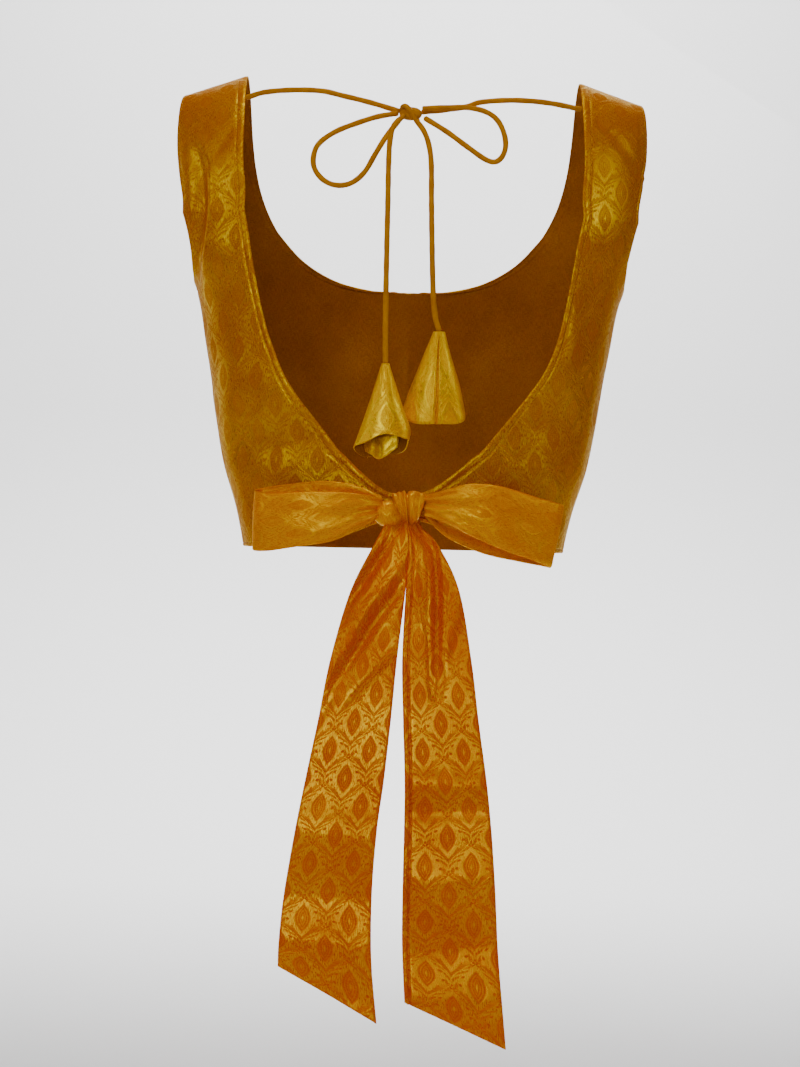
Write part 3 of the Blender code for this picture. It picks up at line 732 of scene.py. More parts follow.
def edge_lift(distance, row):
    """Height of a turned and stitched edge: a rounded lip, a groove under the stitches, a soft swell. It is
    pressed flat on the strap, and stands up below it."""
    raised = sum(ridge(distance, shape) for shape in (EDGE_LIP, EDGE_GROOVE, EDGE_SWELL))
    freed = np.clip((row - EDGE_PRESSED_TO) / (EDGE_FREE_FROM - EDGE_PRESSED_TO), 0.0, 1.0)
    return ridge(distance, EDGE_ROLL) + raised * (EDGE_PRESSED + (1 - EDGE_PRESSED) * freed)


def columns_across(width, middle_columns):
    """The columns' places from 0 to 1 across a piece of this width, crowded near both edges."""
    near = np.asarray(EDGE_COLUMNS)[None, :] / np.maximum(width, LEAST_WIDTH)
    last = near[:, -1:]
    middle = last + (1 - 2 * last) * np.linspace(0, 1, middle_columns + 1)[None, 1:-1]
    return np.hstack([near, middle, 1 - near[:, ::-1]])


def panel(rungs, facing, side, creases, neck_end, armhole_end, hem_start):
    """(points, weave, stitch lines by name) of a panel between its rungs' inner and outer ends."""
    ends = np.array([form_place(ix, iz) + form_place(ox, oz) for ix, iz, ox, oz in rungs])
    rows = np.linspace(0, len(rungs) - 1, (len(rungs) - 1) * RUNG_SPLITS + 1)
    rows = np.insert(rows, 1, SHOULDER_ROWS)
    ends = np.clip(smooth_rows(ends, rows), (0, HEM, 0, HEM), (math.pi / 2, 1, math.pi / 2, 1))
    inner_angle, inner_rise, outer_angle, outer_rise = ends.T[:, :, None]
    inner = form_point(inner_angle, inner_rise, facing)
    outer = form_point(outer_angle, outer_rise, facing)
    width = np.maximum(np.linalg.norm(outer - inner, axis=-1), LEAST_WIDTH)
    part = columns_across(width, MIDDLE_COLUMNS)
    angle = inner_angle + (outer_angle - inner_angle) * part
    rise = inner_rise + (outer_rise - inner_rise) * part
    points = form_point(angle, rise, facing)
    weave = weave_place(angle, rise, facing)
    if facing < 0:
        points[..., 1] -= cup_fullness(points)
    outward = grid_normals(points)
    outward *= np.sign((outward * (points * (1, 1, 0))).sum())
    row = rows[:, None]
    from_outer = (1 - part) * width
    lift = crease_lift(points, creases)
    lift += edge_lift(part * width, row) * (row <= neck_end)
    turned = (row <= armhole_end) | (row >= hem_start)
    lift += np.where(turned, edge_lift(from_outer, row), ridge(from_outer, SEAM_GROOVE))
    lift += ridge(np.abs(rise - rise[0]), SEAM_GROOVE)
    points = points + outward * lift[..., None]
    points[..., 1] = facing * np.maximum(facing * points[..., 1], SEAM_GAP / 2)
    points[..., 0] = side * np.maximum(points[..., 0], 0.0 if facing < 0 else SEAM_GAP / 2)
    weave[..., 0] *= side
    outward = outward * (side, 1, 1)
    rows_in = {
        "neck": (rows <= neck_end, STITCH_COLUMN),
        "armhole": (rows <= armhole_end, -1 - STITCH_COLUMN),
        "hem": (rows >= hem_start, -1 - STITCH_COLUMN),
    }
    lines = {
        name: points[kept, column] + outward[kept, column] * STITCH_LIFT
        for name, (kept, column) in rows_in.items()
    }
    return points, weave, lines


# Back panels: one to each side of the open back, cut on the straight grain from strap to hem and
# lined edge to edge. Creases in the order shown: strap, armhole, waist, and pulls to the bow.
BACK_LEFT_CREASES = (
    (0.0034, 0.0210, ((0.1080, -0.1240), (0.1230, -0.1270), (0.1420, -0.1350), (0.1620, -0.1500))),
    (0.0030, 0.0200, ((0.0700, -0.2400), (0.0950, -0.2300), (0.1200, -0.2220), (0.1420, -0.2150))),
    (-0.0030, 0.0150, ((0.0500, -0.2640), (0.0800, -0.2620), (0.1100, -0.2660), (0.1300, -0.2760))),
    (
        -0.0013, 0.0036,
        (
            (0.1213, -0.0270), (0.1292, -0.0367), (0.1377, -0.0486), (0.1462, -0.0605),
            (0.1518, -0.0723),
        ),
    ),
    (
        -0.0052, 0.0050,
        (
            (0.1581, -0.0520), (0.1547, -0.0695), (0.1531, -0.0914), (0.1538, -0.1119),
            (0.1555, -0.1339), (0.1564, -0.1573),
        ),
    ),
    (
        0.0022, 0.0034,
        (
            (0.1483, -0.0550), (0.1459, -0.0805), (0.1451, -0.1024), (0.1476, -0.1207),
            (0.1499, -0.1464),
        ),
    ),
    (0.0007, 0.0045, ((0.1665, -0.0332), (0.1668, -0.0551), (0.1633, -0.0806))),
    (0.0008, 0.0070, ((0.1065, -0.1648), (0.1195, -0.1977), (0.1295, -0.2379), (0.1257, -0.2741))),
    (-0.0009, 0.0065, ((0.0962, -0.1903), (0.1049, -0.2231), (0.1157, -0.2559), (0.1164, -0.2885))),
    (0.0011, 0.0060, ((0.1114, -0.2987), (0.0864, -0.2880), (0.0629, -0.2767), (0.0384, -0.2740))),
    (-0.0009, 0.0055, ((0.1032, -0.2776), (0.0790, -0.2662), (0.0546, -0.2613))),
    (0.0008, 0.0040, ((0.0751, -0.3094), (0.0785, -0.2878), (0.0869, -0.2664), (0.0910, -0.2449))),
    (-0.0005, 0.0022, ((0.1174, -0.2884), (0.1119, -0.3101), (0.1060, -0.3426))),
    (0.0005, 0.0022, ((0.1225, -0.2885), (0.1153, -0.3174), (0.1110, -0.3463))),
)
# These are given on the wearer's left and mirrored
BACK_RIGHT_CREASES = (
    (0.0026, 0.0220, ((0.1120, -0.1080), (0.1320, -0.1130), (0.1620, -0.1250))),
    (0.0028, 0.0220, ((0.0800, -0.2180), (0.1050, -0.2080), (0.1400, -0.1980))),
    (-0.0026, 0.0160, ((0.0600, -0.2560), (0.0900, -0.2500), (0.1260, -0.2460))),
    (
        -0.0011, 0.0038,
        (
            (0.1279, -0.0177), (0.1383, -0.0270), (0.1518, -0.0413), (0.1623, -0.0535),
            (0.1729, -0.0664),
        ),
    ),
    (-0.0013, 0.0015, ((0.1591, -0.0654), (0.1664, -0.0638), (0.1728, -0.0621))),
    (-0.0010, 0.0014, ((0.1607, -0.0727), (0.1670, -0.0713), (0.1722, -0.0702))),
    (0.0009, 0.0016, ((0.1592, -0.0691), (0.1669, -0.0676), (0.1726, -0.0662))),
    (-0.0005, 0.0016, ((0.1683, -0.0181), (0.1688, -0.0387), (0.1678, -0.0593))),
    (-0.0010, 0.0070, ((0.1409, -0.1114), (0.1331, -0.1516), (0.1281, -0.1881), (0.1306, -0.2317))),
    (0.0009, 0.0070, ((0.1206, -0.1596), (0.1164, -0.1960), (0.1085, -0.2325), (0.0903, -0.2656))),
    (-0.0008, 0.0060, ((0.1021, -0.2332), (0.0896, -0.2551), (0.0685, -0.2787), (0.0471, -0.2936))),
    (0.0009, 0.0050, ((0.1165, -0.2978), (0.0974, -0.2824), (0.0722, -0.2844), (0.0473, -0.2994))),
    (-0.0007, 0.0030, ((0.0156, -0.3030), (0.0284, -0.2956), (0.0412, -0.2881), (0.0553, -0.2762))),
    (0.0006, 0.0050, ((0.1375, -0.2170), (0.1325, -0.2535), (0.1261, -0.2901))),
)


def leaning_rungs(side):
    """The back panel's rungs with its neckline pulled over by the bow."""
    last = len(BACK_RUNGS) - 1
    return [
        (neck_x - side * NECK_LEAN * math.sin(math.pi * i / last), neck_z, outer_x, outer_z)
        for i, (neck_x, neck_z, outer_x, outer_z) in enumerate(BACK_RUNGS)
    ]


stitch_lines = {"neck": [], "armhole": [], "hem": []}
for back_name, back_side, back_creases in (
    ("back_left", 1, BACK_LEFT_CREASES),
    ("back_right", -1, BACK_RIGHT_CREASES),
):
    back_points, back_weave, back_lines = panel(
        leaning_rungs(back_side),
        facing=1,
        side=back_side,
        creases=back_creases,
        neck_end=BACK_NECK_END,
        armhole_end=ARMHOLE_END,
        hem_start=BACK_HEM_START,
    )
    for line_name, line in back_lines.items():
        stitch_lines[line_name].append(line)
    back_piece = cloth_piece(
        back_name + "_panel",
        [(back_points, back_weave, BODY_MIDDLE, False, False)],
        [body_silk, wrong_side],
        BODY_CLOTH,
    )
    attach(back_piece, "root")
    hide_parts(back_name)

# Front: one panel, cut on the fold down its middle, shaped by a waist dart and a side dart under
# each cup. It isn't seen in the picture, so it is finished plainly, with creases like the back's.
CUP_FULLNESS = 0.0160
CUP_X = 0.0730
CUP_Z = -0.1900
CUP_WIDTH = 0.0620
CUP_ABOVE = 0.0560
CUP_BELOW = 0.0480
CUP_ROUND = 1.35
# It fades to nothing at the side seam over this much of the depth
CUP_FADE = 0.05
FRONT_HEM_ROW = -4
WAIST_DART = ((0.0690, -0.3440), (0.0700, -0.3000), (0.0722, -0.2560), (0.0735, -0.2230))
SIDE_DART = ((0.1440, -0.2060), (0.1270, -0.2010), (0.1080, -0.1960))
DART_CREASES = (
    (-0.0011, 0.0011, WAIST_DART),
    (0.0005, 0.0028, tuple((x + 0.003, z) for x, z in WAIST_DART)),
    (-0.0010, 0.0011, SIDE_DART),
    (0.0005, 0.0028, tuple((x, z - 0.003) for x, z in SIDE_DART)),
)
FRONT_LEFT_CREASES = DART_CREASES + (
    (-0.0010, 0.0040, ((0.1240, -0.0330), (0.1370, -0.0480), (0.1500, -0.0640))),
    (-0.0016, 0.0045, ((0.1560, -0.0760), (0.1500, -0.1020), (0.1470, -0.1330), (0.1450, -0.1620))),
    (0.0008, 0.0040, ((0.1440, -0.0900), (0.1380, -0.1180), (0.1290, -0.1480))),
    (-0.0009, 0.0060, ((0.1290, -0.2380), (0.1080, -0.2520), (0.0860, -0.2640))),
    (0.0007, 0.0060, ((0.1300, -0.2700), (0.1060, -0.2790), (0.0800, -0.2960))),
    (-0.0007, 0.0050, ((0.0560, -0.2480), (0.0360, -0.2660), (0.0200, -0.2900))),
    (0.0006, 0.0070, ((0.0280, -0.2000), (0.0310, -0.2400), (0.0250, -0.2800))),
)
FRONT_RIGHT_CREASES = DART_CREASES + (
    (-0.0012, 0.0038, ((0.1260, -0.0270), (0.1400, -0.0410), (0.1560, -0.0560))),
    (-0.0011, 0.0050, ((0.1590, -0.0980), (0.1500, -0.1190), (0.1430, -0.1450))),
    (0.0007, 0.0050, ((0.1430, -0.1020), (0.1330, -0.1320), (0.1270, -0.1560))),
    (-0.0010, 0.0055, ((0.1330, -0.2460), (0.1130, -0.2620), (0.0930, -0.2700))),
    (0.0006, 0.0070, ((0.1230, -0.2850), (0.0990, -0.3000), (0.0830, -0.3200))),
    (-0.0006, 0.0045, ((0.0520, -0.2620), (0.0400, -0.2900), (0.0300, -0.3160))),
)


def cup_fullness(points):
    """How far the darts let the front stand out over each side."""
    x, y, z = points[..., 0], points[..., 1], points[..., 2]
    height = (z - CUP_Z) / np.where(z > CUP_Z, CUP_ABOVE, CUP_BELOW)
    reach = ((x - CUP_X) / CUP_WIDTH) ** 2 + height**2
    return CUP_FULLNESS * np.exp(-(reach**CUP_ROUND)) * np.clip(-y / CUP_FADE, 0.0, 1.0)


front_grids = []
for front_side, front_creases in ((1, FRONT_LEFT_CREASES), (-1, FRONT_RIGHT_CREASES)):
    front_points, front_weave, front_lines = panel(
        FRONT_RUNGS,
        facing=-1,
        side=front_side,
        creases=front_creases,
        neck_end=FRONT_NECK_END,
        armhole_end=ARMHOLE_END,
        hem_start=FRONT_HEM_START,
    )
    front_grids.append((front_points, front_weave, BODY_MIDDLE, False, False))
    stitch_lines["neck"].append(front_lines["neck"])
    stitch_lines["armhole"].append(front_lines["armhole"])
    stitch_lines["hem"].append(front_points[FRONT_HEM_ROW] + (0.0, -STITCH_LIFT, 0.0))
front_panel = cloth_piece("front_panel", front_grids, [body_silk, wrong_side], BODY_CLOTH)
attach(front_panel, "root")
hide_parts("front")

# Stitches: gold silk thread, one straight stitch about every 2.6 mm, sunk a little in the groove
# that runs 4.5 mm inside the neckline, the armholes and the hem.
STITCH_PITCH = 0.0026
STITCH_LENGTH = 0.0019
# Hand guided, so no two are quite as long
STITCH_SHORTEST = 0.82
STITCH_LONGEST = 1.08
THREAD_WIDTH = 0.00042


def thread_silk(name, deep, bright):
    """Twisted thread: one gold, grained as finely as its twist."""
    made, output, start = empty_material(name)
    place = start.node("ShaderNodeTexCoord", {}, {}, "Object")
    grain = start.node("ShaderNodeTexNoise", {}, {"Vector": place, "Scale": 1500.0, "Detail": 2.0})
    shader = start.node(
        "ShaderNodeBsdfPrincipled",
        {},
        {
            "Base Color": grain.step(0.3, 0.7).colour(deep, bright),
            "Roughness": grain * 0.2 + 0.4,
            "Metallic": 0.2,
        },
    )
    made.node_tree.links.new(shader.socket, output.inputs["Surface"])
    return made


def stitch_tree(name, thread):
    """Geometry nodes that lay one stitch after another along every line of a mesh of lines."""
    tree = bpy.data.node_groups.new(name, "GeometryNodeTree")
    tree.interface.new_socket("Lines", in_out="INPUT", socket_type="NodeSocketGeometry")
    for size in ("Pitch", "Length", "Thickness"):
        tree.interface.new_socket(size, in_out="INPUT", socket_type="NodeSocketFloat")
    tree.interface.new_socket("Stitches", in_out="OUTPUT", socket_type="NodeSocketGeometry")

    def add(kind, settings, links):
        made = tree.nodes.new(kind)
        for key, value in settings.items():
            if hasattr(made, key):
                setattr(made, key, value)
            else:
                made.inputs[key].default_value = value
        for key, socket in links.items():
            tree.links.new(socket, made.inputs[key])
        return made

    sizes = tree.nodes.new("NodeGroupInput")
    curve = add("GeometryNodeMeshToCurve", {}, {"Mesh": sizes.outputs["Lines"]})
    spaced = add(
        "GeometryNodeResampleCurve",
        {"mode": "LENGTH"},
        {"Curve": curve.outputs["Curve"], "Length": sizes.outputs["Pitch"]},
    )
    spots = add("GeometryNodeCurveToPoints", {"mode": "EVALUATED"}, {"Curve": spaced.outputs[0]})
    bead = add("GeometryNodeMeshUVSphere", {"Segments": 6, "Rings": 4, "Radius": 0.5}, {})
    size = add(
        "ShaderNodeCombineXYZ",
        {},
        {"X": sizes.outputs["Thickness"], "Y": sizes.outputs["Thickness"], "Z": sizes.outputs["Length"]},
    )
    shaped = add(
        "GeometryNodeTransform",
        {},
        {"Geometry": bead.outputs["Mesh"], "Scale": size.outputs["Vector"]},
    )
    uneven = add("FunctionNodeRandomValue", {"data_type": "FLOAT", "Seed": 7}, {})
    uneven.inputs[2].default_value = STITCH_SHORTEST
    uneven.inputs[3].default_value = STITCH_LONGEST
    laid = add(
        "GeometryNodeInstanceOnPoints",
        {},
        {
            "Points": spots.outputs["Points"],
            "Instance": shaped.outputs["Geometry"],
            "Rotation": spots.outputs["Rotation"],
            "Scale": uneven.outputs[1],
        },
    )
    real = add("GeometryNodeRealizeInstances", {}, {"Geometry": laid.outputs["Instances"]})
    smooth = add("GeometryNodeSetShadeSmooth", {}, {"Geometry": real.outputs["Geometry"]})
    dyed = add("GeometryNodeSetMaterial", {"Material": thread}, {"Geometry": smooth.outputs[0]})
    result = tree.nodes.new("NodeGroupOutput")
    tree.links.new(dyed.outputs["Geometry"], result.inputs["Stitches"])
    return tree


def sewn_stitches(name, lines, tree, pitch, length, thickness):
    """One mesh of stitches along these lines."""
    mesh = bpy.data.meshes.new(name + "_lines")
    starts = np.cumsum([0] + [len(line) for line in lines])
    edges = [(s + i, s + i + 1) for s, line in zip(starts, lines) for i in range(len(line) - 1)]
    mesh.from_pydata([tuple(map(float, p)) for line in lines for p in line], edges, [])
    guide = bpy.data.objects.new(name + "_lines", mesh)
    bpy.context.scene.collection.objects.link(guide)
    sewing = guide.modifiers.new("stitches", "NODES")
    sewing.node_group = tree
    wanted = {"Pitch": pitch, "Length": length, "Thickness": thickness}
    for item in tree.interface.items_tree:
        if item.name in wanted:
            sewing[item.identifier] = wanted[item.name]
    graph = bpy.context.evaluated_depsgraph_get()
    made = bpy.data.meshes.new_from_object(guide.evaluated_get(graph))
    bpy.data.objects.remove(guide, do_unlink=True)
    made.name = name
    piece = bpy.data.objects.new(name, made)
    bpy.context.scene.collection.objects.link(piece)
    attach(piece, "root")
    return piece


gold_thread = thread_silk("gold thread", silk_colour(176, 104, 8), silk_colour(240, 184, 40))
sewing_tree = stitch_tree("topstitching", gold_thread)
body_stitches = [
    sewn_stitches(
        line_name + "_stitches", lines, sewing_tree, STITCH_PITCH, STITCH_LENGTH, THREAD_WIDTH
    )
    for line_name, lines in stitch_lines.items()
]

# Sash: a doubled ribbon of the same silk, 70 mm wide, sewn to the end of each back panel and tied
# in a bow. Its loops are rows of top and bottom edge points, front layer out and back layer in.
SASH_CLOTH = 0.0015
LOOP_LEFT_ROWS = (
    (0.0160, 0.0900, -0.3075, 0.0160, 0.0900, -0.3205),
    (0.0320, 0.0955, -0.3043, 0.0330, 0.0950, -0.3300),
    (0.0530, 0.0975, -0.3033, 0.0510, 0.0960, -0.3385),
    (0.0750, 0.0950, -0.3038, 0.0770, 0.0930, -0.3432),
    (0.0970, 0.0860, -0.3046, 0.0970, 0.0860, -0.3465),
    (0.1080, 0.0755, -0.3030, 0.1085, 0.0765, -0.3465),
    (0.1030, 0.0650, -0.3010, 0.1030, 0.0665, -0.3435),
    (0.0860, 0.0690, -0.2981, 0.0840, 0.0705, -0.3410),
    (0.0570, 0.0765, -0.2952, 0.0560, 0.0780, -0.3355),
    (0.0330, 0.0815, -0.2985, 0.0340, 0.0825, -0.3270),
    (0.0160, 0.0845, -0.3060, 0.0160, 0.0845, -0.3195),
)
LOOP_RIGHT_ROWS = (
    (0.0145, 0.0900, -0.3040, 0.0145, 0.0900, -0.3185),
    (0.0300, 0.0950, -0.2996, 0.0310, 0.0950, -0.3245),
    (0.0480, 0.0970, -0.2952, 0.0500, 0.0970, -0.3335),
    (0.0700, 0.0945, -0.2968, 0.0740, 0.0930, -0.3430),
    (0.0960, 0.0850, -0.3038, 0.0930, 0.0845, -0.3490),
    (0.1155, 0.0735, -0.3088, 0.1070, 0.0735, -0.3543),
    (0.1070, 0.0630, -0.3060, 0.0990, 0.0650, -0.3530),
    (0.0860, 0.0680, -0.3015, 0.0840, 0.0705, -0.3505),
    (0.0570, 0.0760, -0.2970, 0.0570, 0.0780, -0.3450),
    (0.0320, 0.0815, -0.3010, 0.0310, 0.0825, -0.3340),
    (0.0145, 0.0845, -0.3050, 0.0145, 0.0845, -0.3190),
)
# Rows down the hanging tails: outer_x, outer_z, inner_x, inner_z, y
TAIL_LEFT_ROWS = (
    (0.0095, -0.3140, -0.0020, -0.3140, 0.0846),
    (0.0140, -0.3262, -0.0038, -0.3262, 0.0872),
    (0.0209, -0.3400, -0.0050, -0.3400, 0.0944),
    (0.0371, -0.3745, -0.0018, -0.3780, 0.1068),
    (0.0498, -0.4222, 0.0026, -0.4212, 0.1190),
    (0.0572, -0.4643, 0.0059, -0.4631, 0.1250),
    (0.0652, -0.5064, 0.0098, -0.5052, 0.1280),
    (0.0714, -0.5415, 0.0139, -0.5402, 0.1290),
    (0.0784, -0.5872, 0.0165, -0.5858, 0.1300),
    (0.0811, -0.6200, 0.0157, -0.6330, 0.1300),
    (0.0815, -0.6371, 0.0112, -0.6761, 0.1300),
)
TAIL_RIGHT_ROWS = (
    (-0.0098, -0.3140, -0.0025, -0.3140, 0.0860),
    (-0.0120, -0.3262, -0.0022, -0.3262, 0.0886),
    (-0.0248, -0.3395, -0.0036, -0.3400, 0.0960),
    (-0.0403, -0.3710, -0.0024, -0.3740, 0.1080),
    (-0.0499, -0.4200, -0.0010, -0.4211, 0.1190),
    (-0.0557, -0.4617, -0.0026, -0.4630, 0.1250),
    (-0.0621, -0.5035, -0.0046, -0.5048, 0.1280),
    (-0.0664, -0.5384, -0.0050, -0.5398, 0.1290),
    (-0.0702, -0.5838, -0.0049, -0.5853, 0.1300),
    (-0.0737, -0.6320, -0.0055, -0.6220, 0.1300),
    (-0.0800, -0.6923, -0.0080, -0.6603, 0.1300),
)
RIBBON_COLUMNS = 32
RIBBON_SPLITS = 26
RIBBON_WIDTH = 0.062
# The pressed fold along each edge: its height in metres, its place and half width as shares of the
# ribbon's width
RIBBON_FOLD = (-0.0006, 0.0, 0.012)
# Small pleats that run out from the knot: their height, and how many rows they take to fade
PLEAT_HEIGHT = 0.0012
TAIL_PLEAT_HEIGHT = 0.0010
PLEAT_ROWS = 1.5
LOOP_FRONT_PLEATS = 2.6
LOOP_BACK_PLEATS = 3.2
TAIL_PLEATS = 2.2
# The loops' front layer ends at this row, and is puffed out most at the row where it is widest
LOOP_FRONT_END = 5.2
PUFF_HEIGHT = 0.0030
PUFF_ROW = 2.8
PUFF_ROWS = 2.6
# A point far behind the tails' visible side, which they face away from
TAIL_BEHIND = np.array([0.0, -1.0, -0.5])
LOOP_LEFT_CREASES = (
    (0.0014, 0.0032, ((0.0088, -0.3067), (0.0231, -0.3077), (0.0423, -0.3103), (0.0615, -0.3150))),
    (-0.0016, 0.0026, ((0.0101, -0.3124), (0.0229, -0.3148), (0.0371, -0.3180))),
    (-0.0022, 0.0026, ((0.0128, -0.3203), (0.0270, -0.3235), (0.0418, -0.3324), (0.0560, -0.3392))),
    (0.0016, 0.0030, ((0.0114, -0.3167), (0.0299, -0.3207), (0.0491, -0.3276), (0.0703, -0.3352))),
    (-0.0009, 0.0060, ((0.0530, -0.3176), (0.0744, -0.3196), (0.0975, -0.3144))),
    (0.0007, 0.0040, ((0.1047, -0.3102), (0.1015, -0.3245), (0.0968, -0.3423))),
)
LOOP_RIGHT_CREASES = (
    (
        0.0022, 0.0024,
        (
            (-0.0143, -0.3154), (-0.0258, -0.3180), (-0.0366, -0.3228), (-0.0475, -0.3297),
            (-0.0591, -0.3387),
        ),
    ),
    (
        -0.0030, 0.0026,
        (
            (-0.0144, -0.3197), (-0.0245, -0.3231), (-0.0346, -0.3286), (-0.0433, -0.3355),
            (-0.0521, -0.3425),
        ),
    ),
    (-0.0016, 0.0026, ((-0.0157, -0.3133), (-0.0285, -0.3115), (-0.0414, -0.3120), (-0.0543, -0.3152))),
    (0.0012, 0.0036, ((-0.0141, -0.3076), (-0.0298, -0.3051), (-0.0469, -0.3040), (-0.0684, -0.3063))),
    (-0.0009, 0.0035, ((-0.0140, -0.3033), (-0.0254, -0.3023), (-0.0368, -0.2999))),
    (0.0010, 0.0030, ((-0.0606, -0.3337), (-0.0765, -0.3405), (-0.0946, -0.3472), (-0.1097, -0.3526))),
    (-0.0008, 0.0080, ((-0.0687, -0.3134), (-0.0868, -0.3202), (-0.1014, -0.3306))),
    (-0.0014, 0.0018, ((-0.0696, -0.3435), (-0.0877, -0.3503), (-0.1072, -0.3571))),
)
TAIL_LEFT_CREASES = (
    (
        -0.0046, 0.0040,
        (
            (0.0027, -0.3223), (0.0122, -0.3425), (0.0246, -0.3620), (0.0370, -0.3801),
            (0.0438, -0.3980), (0.0462, -0.4159),
        ),
    ),
    (0.0024, 0.0040, ((0.0059, -0.3081), (0.0139, -0.3332), (0.0290, -0.3571))),
    (0.0030, 0.0045, ((-0.0008, -0.3506), (0.0088, -0.3650), (0.0226, -0.3831), (0.0363, -0.4047))),
    (
        -0.0050, 0.0045,
        (
            (-0.0011, -0.3647), (0.0092, -0.3806), (0.0195, -0.3950), (0.0290, -0.4115),
            (0.0393, -0.4280), (0.0495, -0.4438),
        ),
    ),
    (0.0018, 0.0050, ((-0.0020, -0.4071), (0.0112, -0.4180), (0.0284, -0.4361), (0.0456, -0.4577))),
    (-0.0015, 0.0040, ((0.0459, -0.4434), (0.0560, -0.4612), (0.0614, -0.4755))),
    (0.0044, 0.0180, ((-0.0300, -0.5480), (0.0326, -0.5440), (0.0700, -0.5400), (0.1300, -0.5500))),
    (-0.0042, 0.0160, ((-0.0300, -0.5920), (0.0326, -0.5900), (0.0596, -0.5880), (0.1300, -0.5860))),
    (0.0020, 0.0090, ((-0.0100, -0.6240), (0.0351, -0.6220), (0.0596, -0.6187), (0.1041, -0.6163))),
    (-0.0026, 0.0120, ((-0.0100, -0.6692), (0.0235, -0.6591), (0.0447, -0.6555), (0.0956, -0.6530))),
)
TAIL_RIGHT_CREASES = (
    (
        -0.0062, 0.0038,
        (
            (-0.0070, -0.3150), (-0.0128, -0.3304), (-0.0213, -0.3431), (-0.0238, -0.3587),
            (-0.0249, -0.3787), (-0.0252, -0.4072), (-0.0258, -0.4290), (-0.0262, -0.4500),
        ),
    ),
    (0.0026, 0.0034, ((-0.0143, -0.3176), (-0.0260, -0.3323), (-0.0350, -0.3499), (-0.0412, -0.3712))),
    (0.0014, 0.0030, ((-0.0064, -0.3505), (-0.0113, -0.3788), (-0.0162, -0.4071))),
    (-0.0012, 0.0050, ((-0.0481, -0.3778), (-0.0429, -0.3992), (-0.0350, -0.4242), (-0.0283, -0.4420))),
    (0.0026, 0.0090, ((0.0200, -0.5060), (-0.0221, -0.5070), (-0.0433, -0.5080), (-0.0914, -0.5060))),
    (-0.0026, 0.0080, ((0.0200, -0.5260), (-0.0261, -0.5270), (-0.0472, -0.5250), (-0.0918, -0.5250))),
    (0.0038, 0.0150, ((0.0200, -0.5720), (-0.0242, -0.5750), (-0.0523, -0.5730), (-0.1100, -0.5700))),
    (-0.0044, 0.0160, ((0.0200, -0.6220), (-0.0249, -0.6230), (-0.0530, -0.6200), (-0.1200, -0.6180))),
    (0.0022, 0.0100, ((0.0200, -0.6560), (-0.0330, -0.6583), (-0.0612, -0.6597), (-0.1200, -0.6612))),
)
# The seam that closes the ribbon's tube shows as a folded strip down one edge of the right tail
SEAM_STRIP = 0.0038
SEAM_STRIP_HEIGHT = 0.0012
SEAM_STRIP_GROOVE = (-0.0012, SEAM_STRIP * 1.12, 0.0007)


def ribbon(rows):
    """(points, weave, row places, part across) of a ribbon given by the two ends of each row."""
    places = np.linspace(0, len(rows) - 1, (len(rows) - 1) * RIBBON_SPLITS + 1)
    ends = smooth_rows(rows, places)
    width = np.linalg.norm(ends[:, 3:] - ends[:, :3], axis=1)[:, None]
    part = columns_across(width, RIBBON_COLUMNS)
    points = ends[:, None, :3] + (ends[:, None, 3:] - ends[:, None, :3]) * part[..., None]
    run = run_along((ends[:, :3] + ends[:, 3:]) / 2)[:, None]
    weave = np.stack(np.broadcast_arrays((part - 0.5) * RIBBON_WIDTH, -run), axis=-1)
    return points, weave, places[:, None], part


def gathers(places, part, end, count, phase, height):
    """Height of the pleats that run out from the knot at this end row."""
    fade = np.exp(-(((places - end) / PLEAT_ROWS) ** 2))
    return height * fade * np.cos(2 * math.pi * count * part + phase)


def folded_edges(part):
    """Height of the pressed folds along both edges of a ribbon."""
    return ridge(part, RIBBON_FOLD) + ridge(1 - part, RIBBON_FOLD)


# The tails and the bow are one silk given different colours: the tails' deeper colours are painted shade,
# as they hang in their own shade, and the bow's lighter ones are painted light, as its loops face the light
shaded_tail_silk = jacquard(
    "gold jacquard tails",
    deep=silk_colour(200, 62, 0),
    lit=silk_colour(214, 78, 0),
    gold=silk_colour(255, 226, 0),
    shine=0.30,
    figure_shine=0.07,
    slope=0.08,
)
# Painted light: the bow's and knot's silk is given lighter colours than the tails' silk
lit_bow_silk = jacquard(
    "gold jacquard bow",
    deep=silk_colour(212, 102, 0),
    lit=silk_colour(230, 126, 0),
    gold=silk_colour(255, 232, 0),
    shine=0.27,
    figure_shine=0.17,
    slope=0.10,
)
for loop_name, loop_side, loop_rows, loop_creases, pleat_phase in (
    ("bow_loop_left", 1, LOOP_LEFT_ROWS, LOOP_LEFT_CREASES, 0.6),
    ("bow_loop_right", -1, LOOP_RIGHT_ROWS, LOOP_RIGHT_CREASES, 2.4),
):
    loop_points, loop_weave, places, part = ribbon(loop_rows)
    loop_points[..., 0] *= loop_side
    loop_middle = loop_points.mean(axis=(0, 1))
    outward = grid_normals(loop_points)
    outward *= np.sign((outward * (loop_points - loop_middle)).sum())
    lift = crease_lift(loop_points, loop_creases) * (places < LOOP_FRONT_END)
    puff = np.clip(1 - ((places - PUFF_ROW) / PUFF_ROWS) ** 2, 0.0, 1.0)
    lift += PUFF_HEIGHT * puff * np.sin(math.pi * part) ** 0.8
    lift += gathers(places, part, 0, LOOP_FRONT_PLEATS, pleat_phase, PLEAT_HEIGHT)
    lift += gathers(
        places, part, len(loop_rows) - 1, LOOP_BACK_PLEATS, pleat_phase + 1, PLEAT_HEIGHT
    )
    lift += folded_edges(part)
    loop_points = loop_points + outward * lift[..., None]
    loop_piece = cloth_piece(
        loop_name + "_ribbon",
        [(loop_points, loop_weave, loop_middle, False, False)],
        [lit_bow_silk],
        SASH_CLOTH,
    )
    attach(loop_piece, "root")
    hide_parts(loop_name)

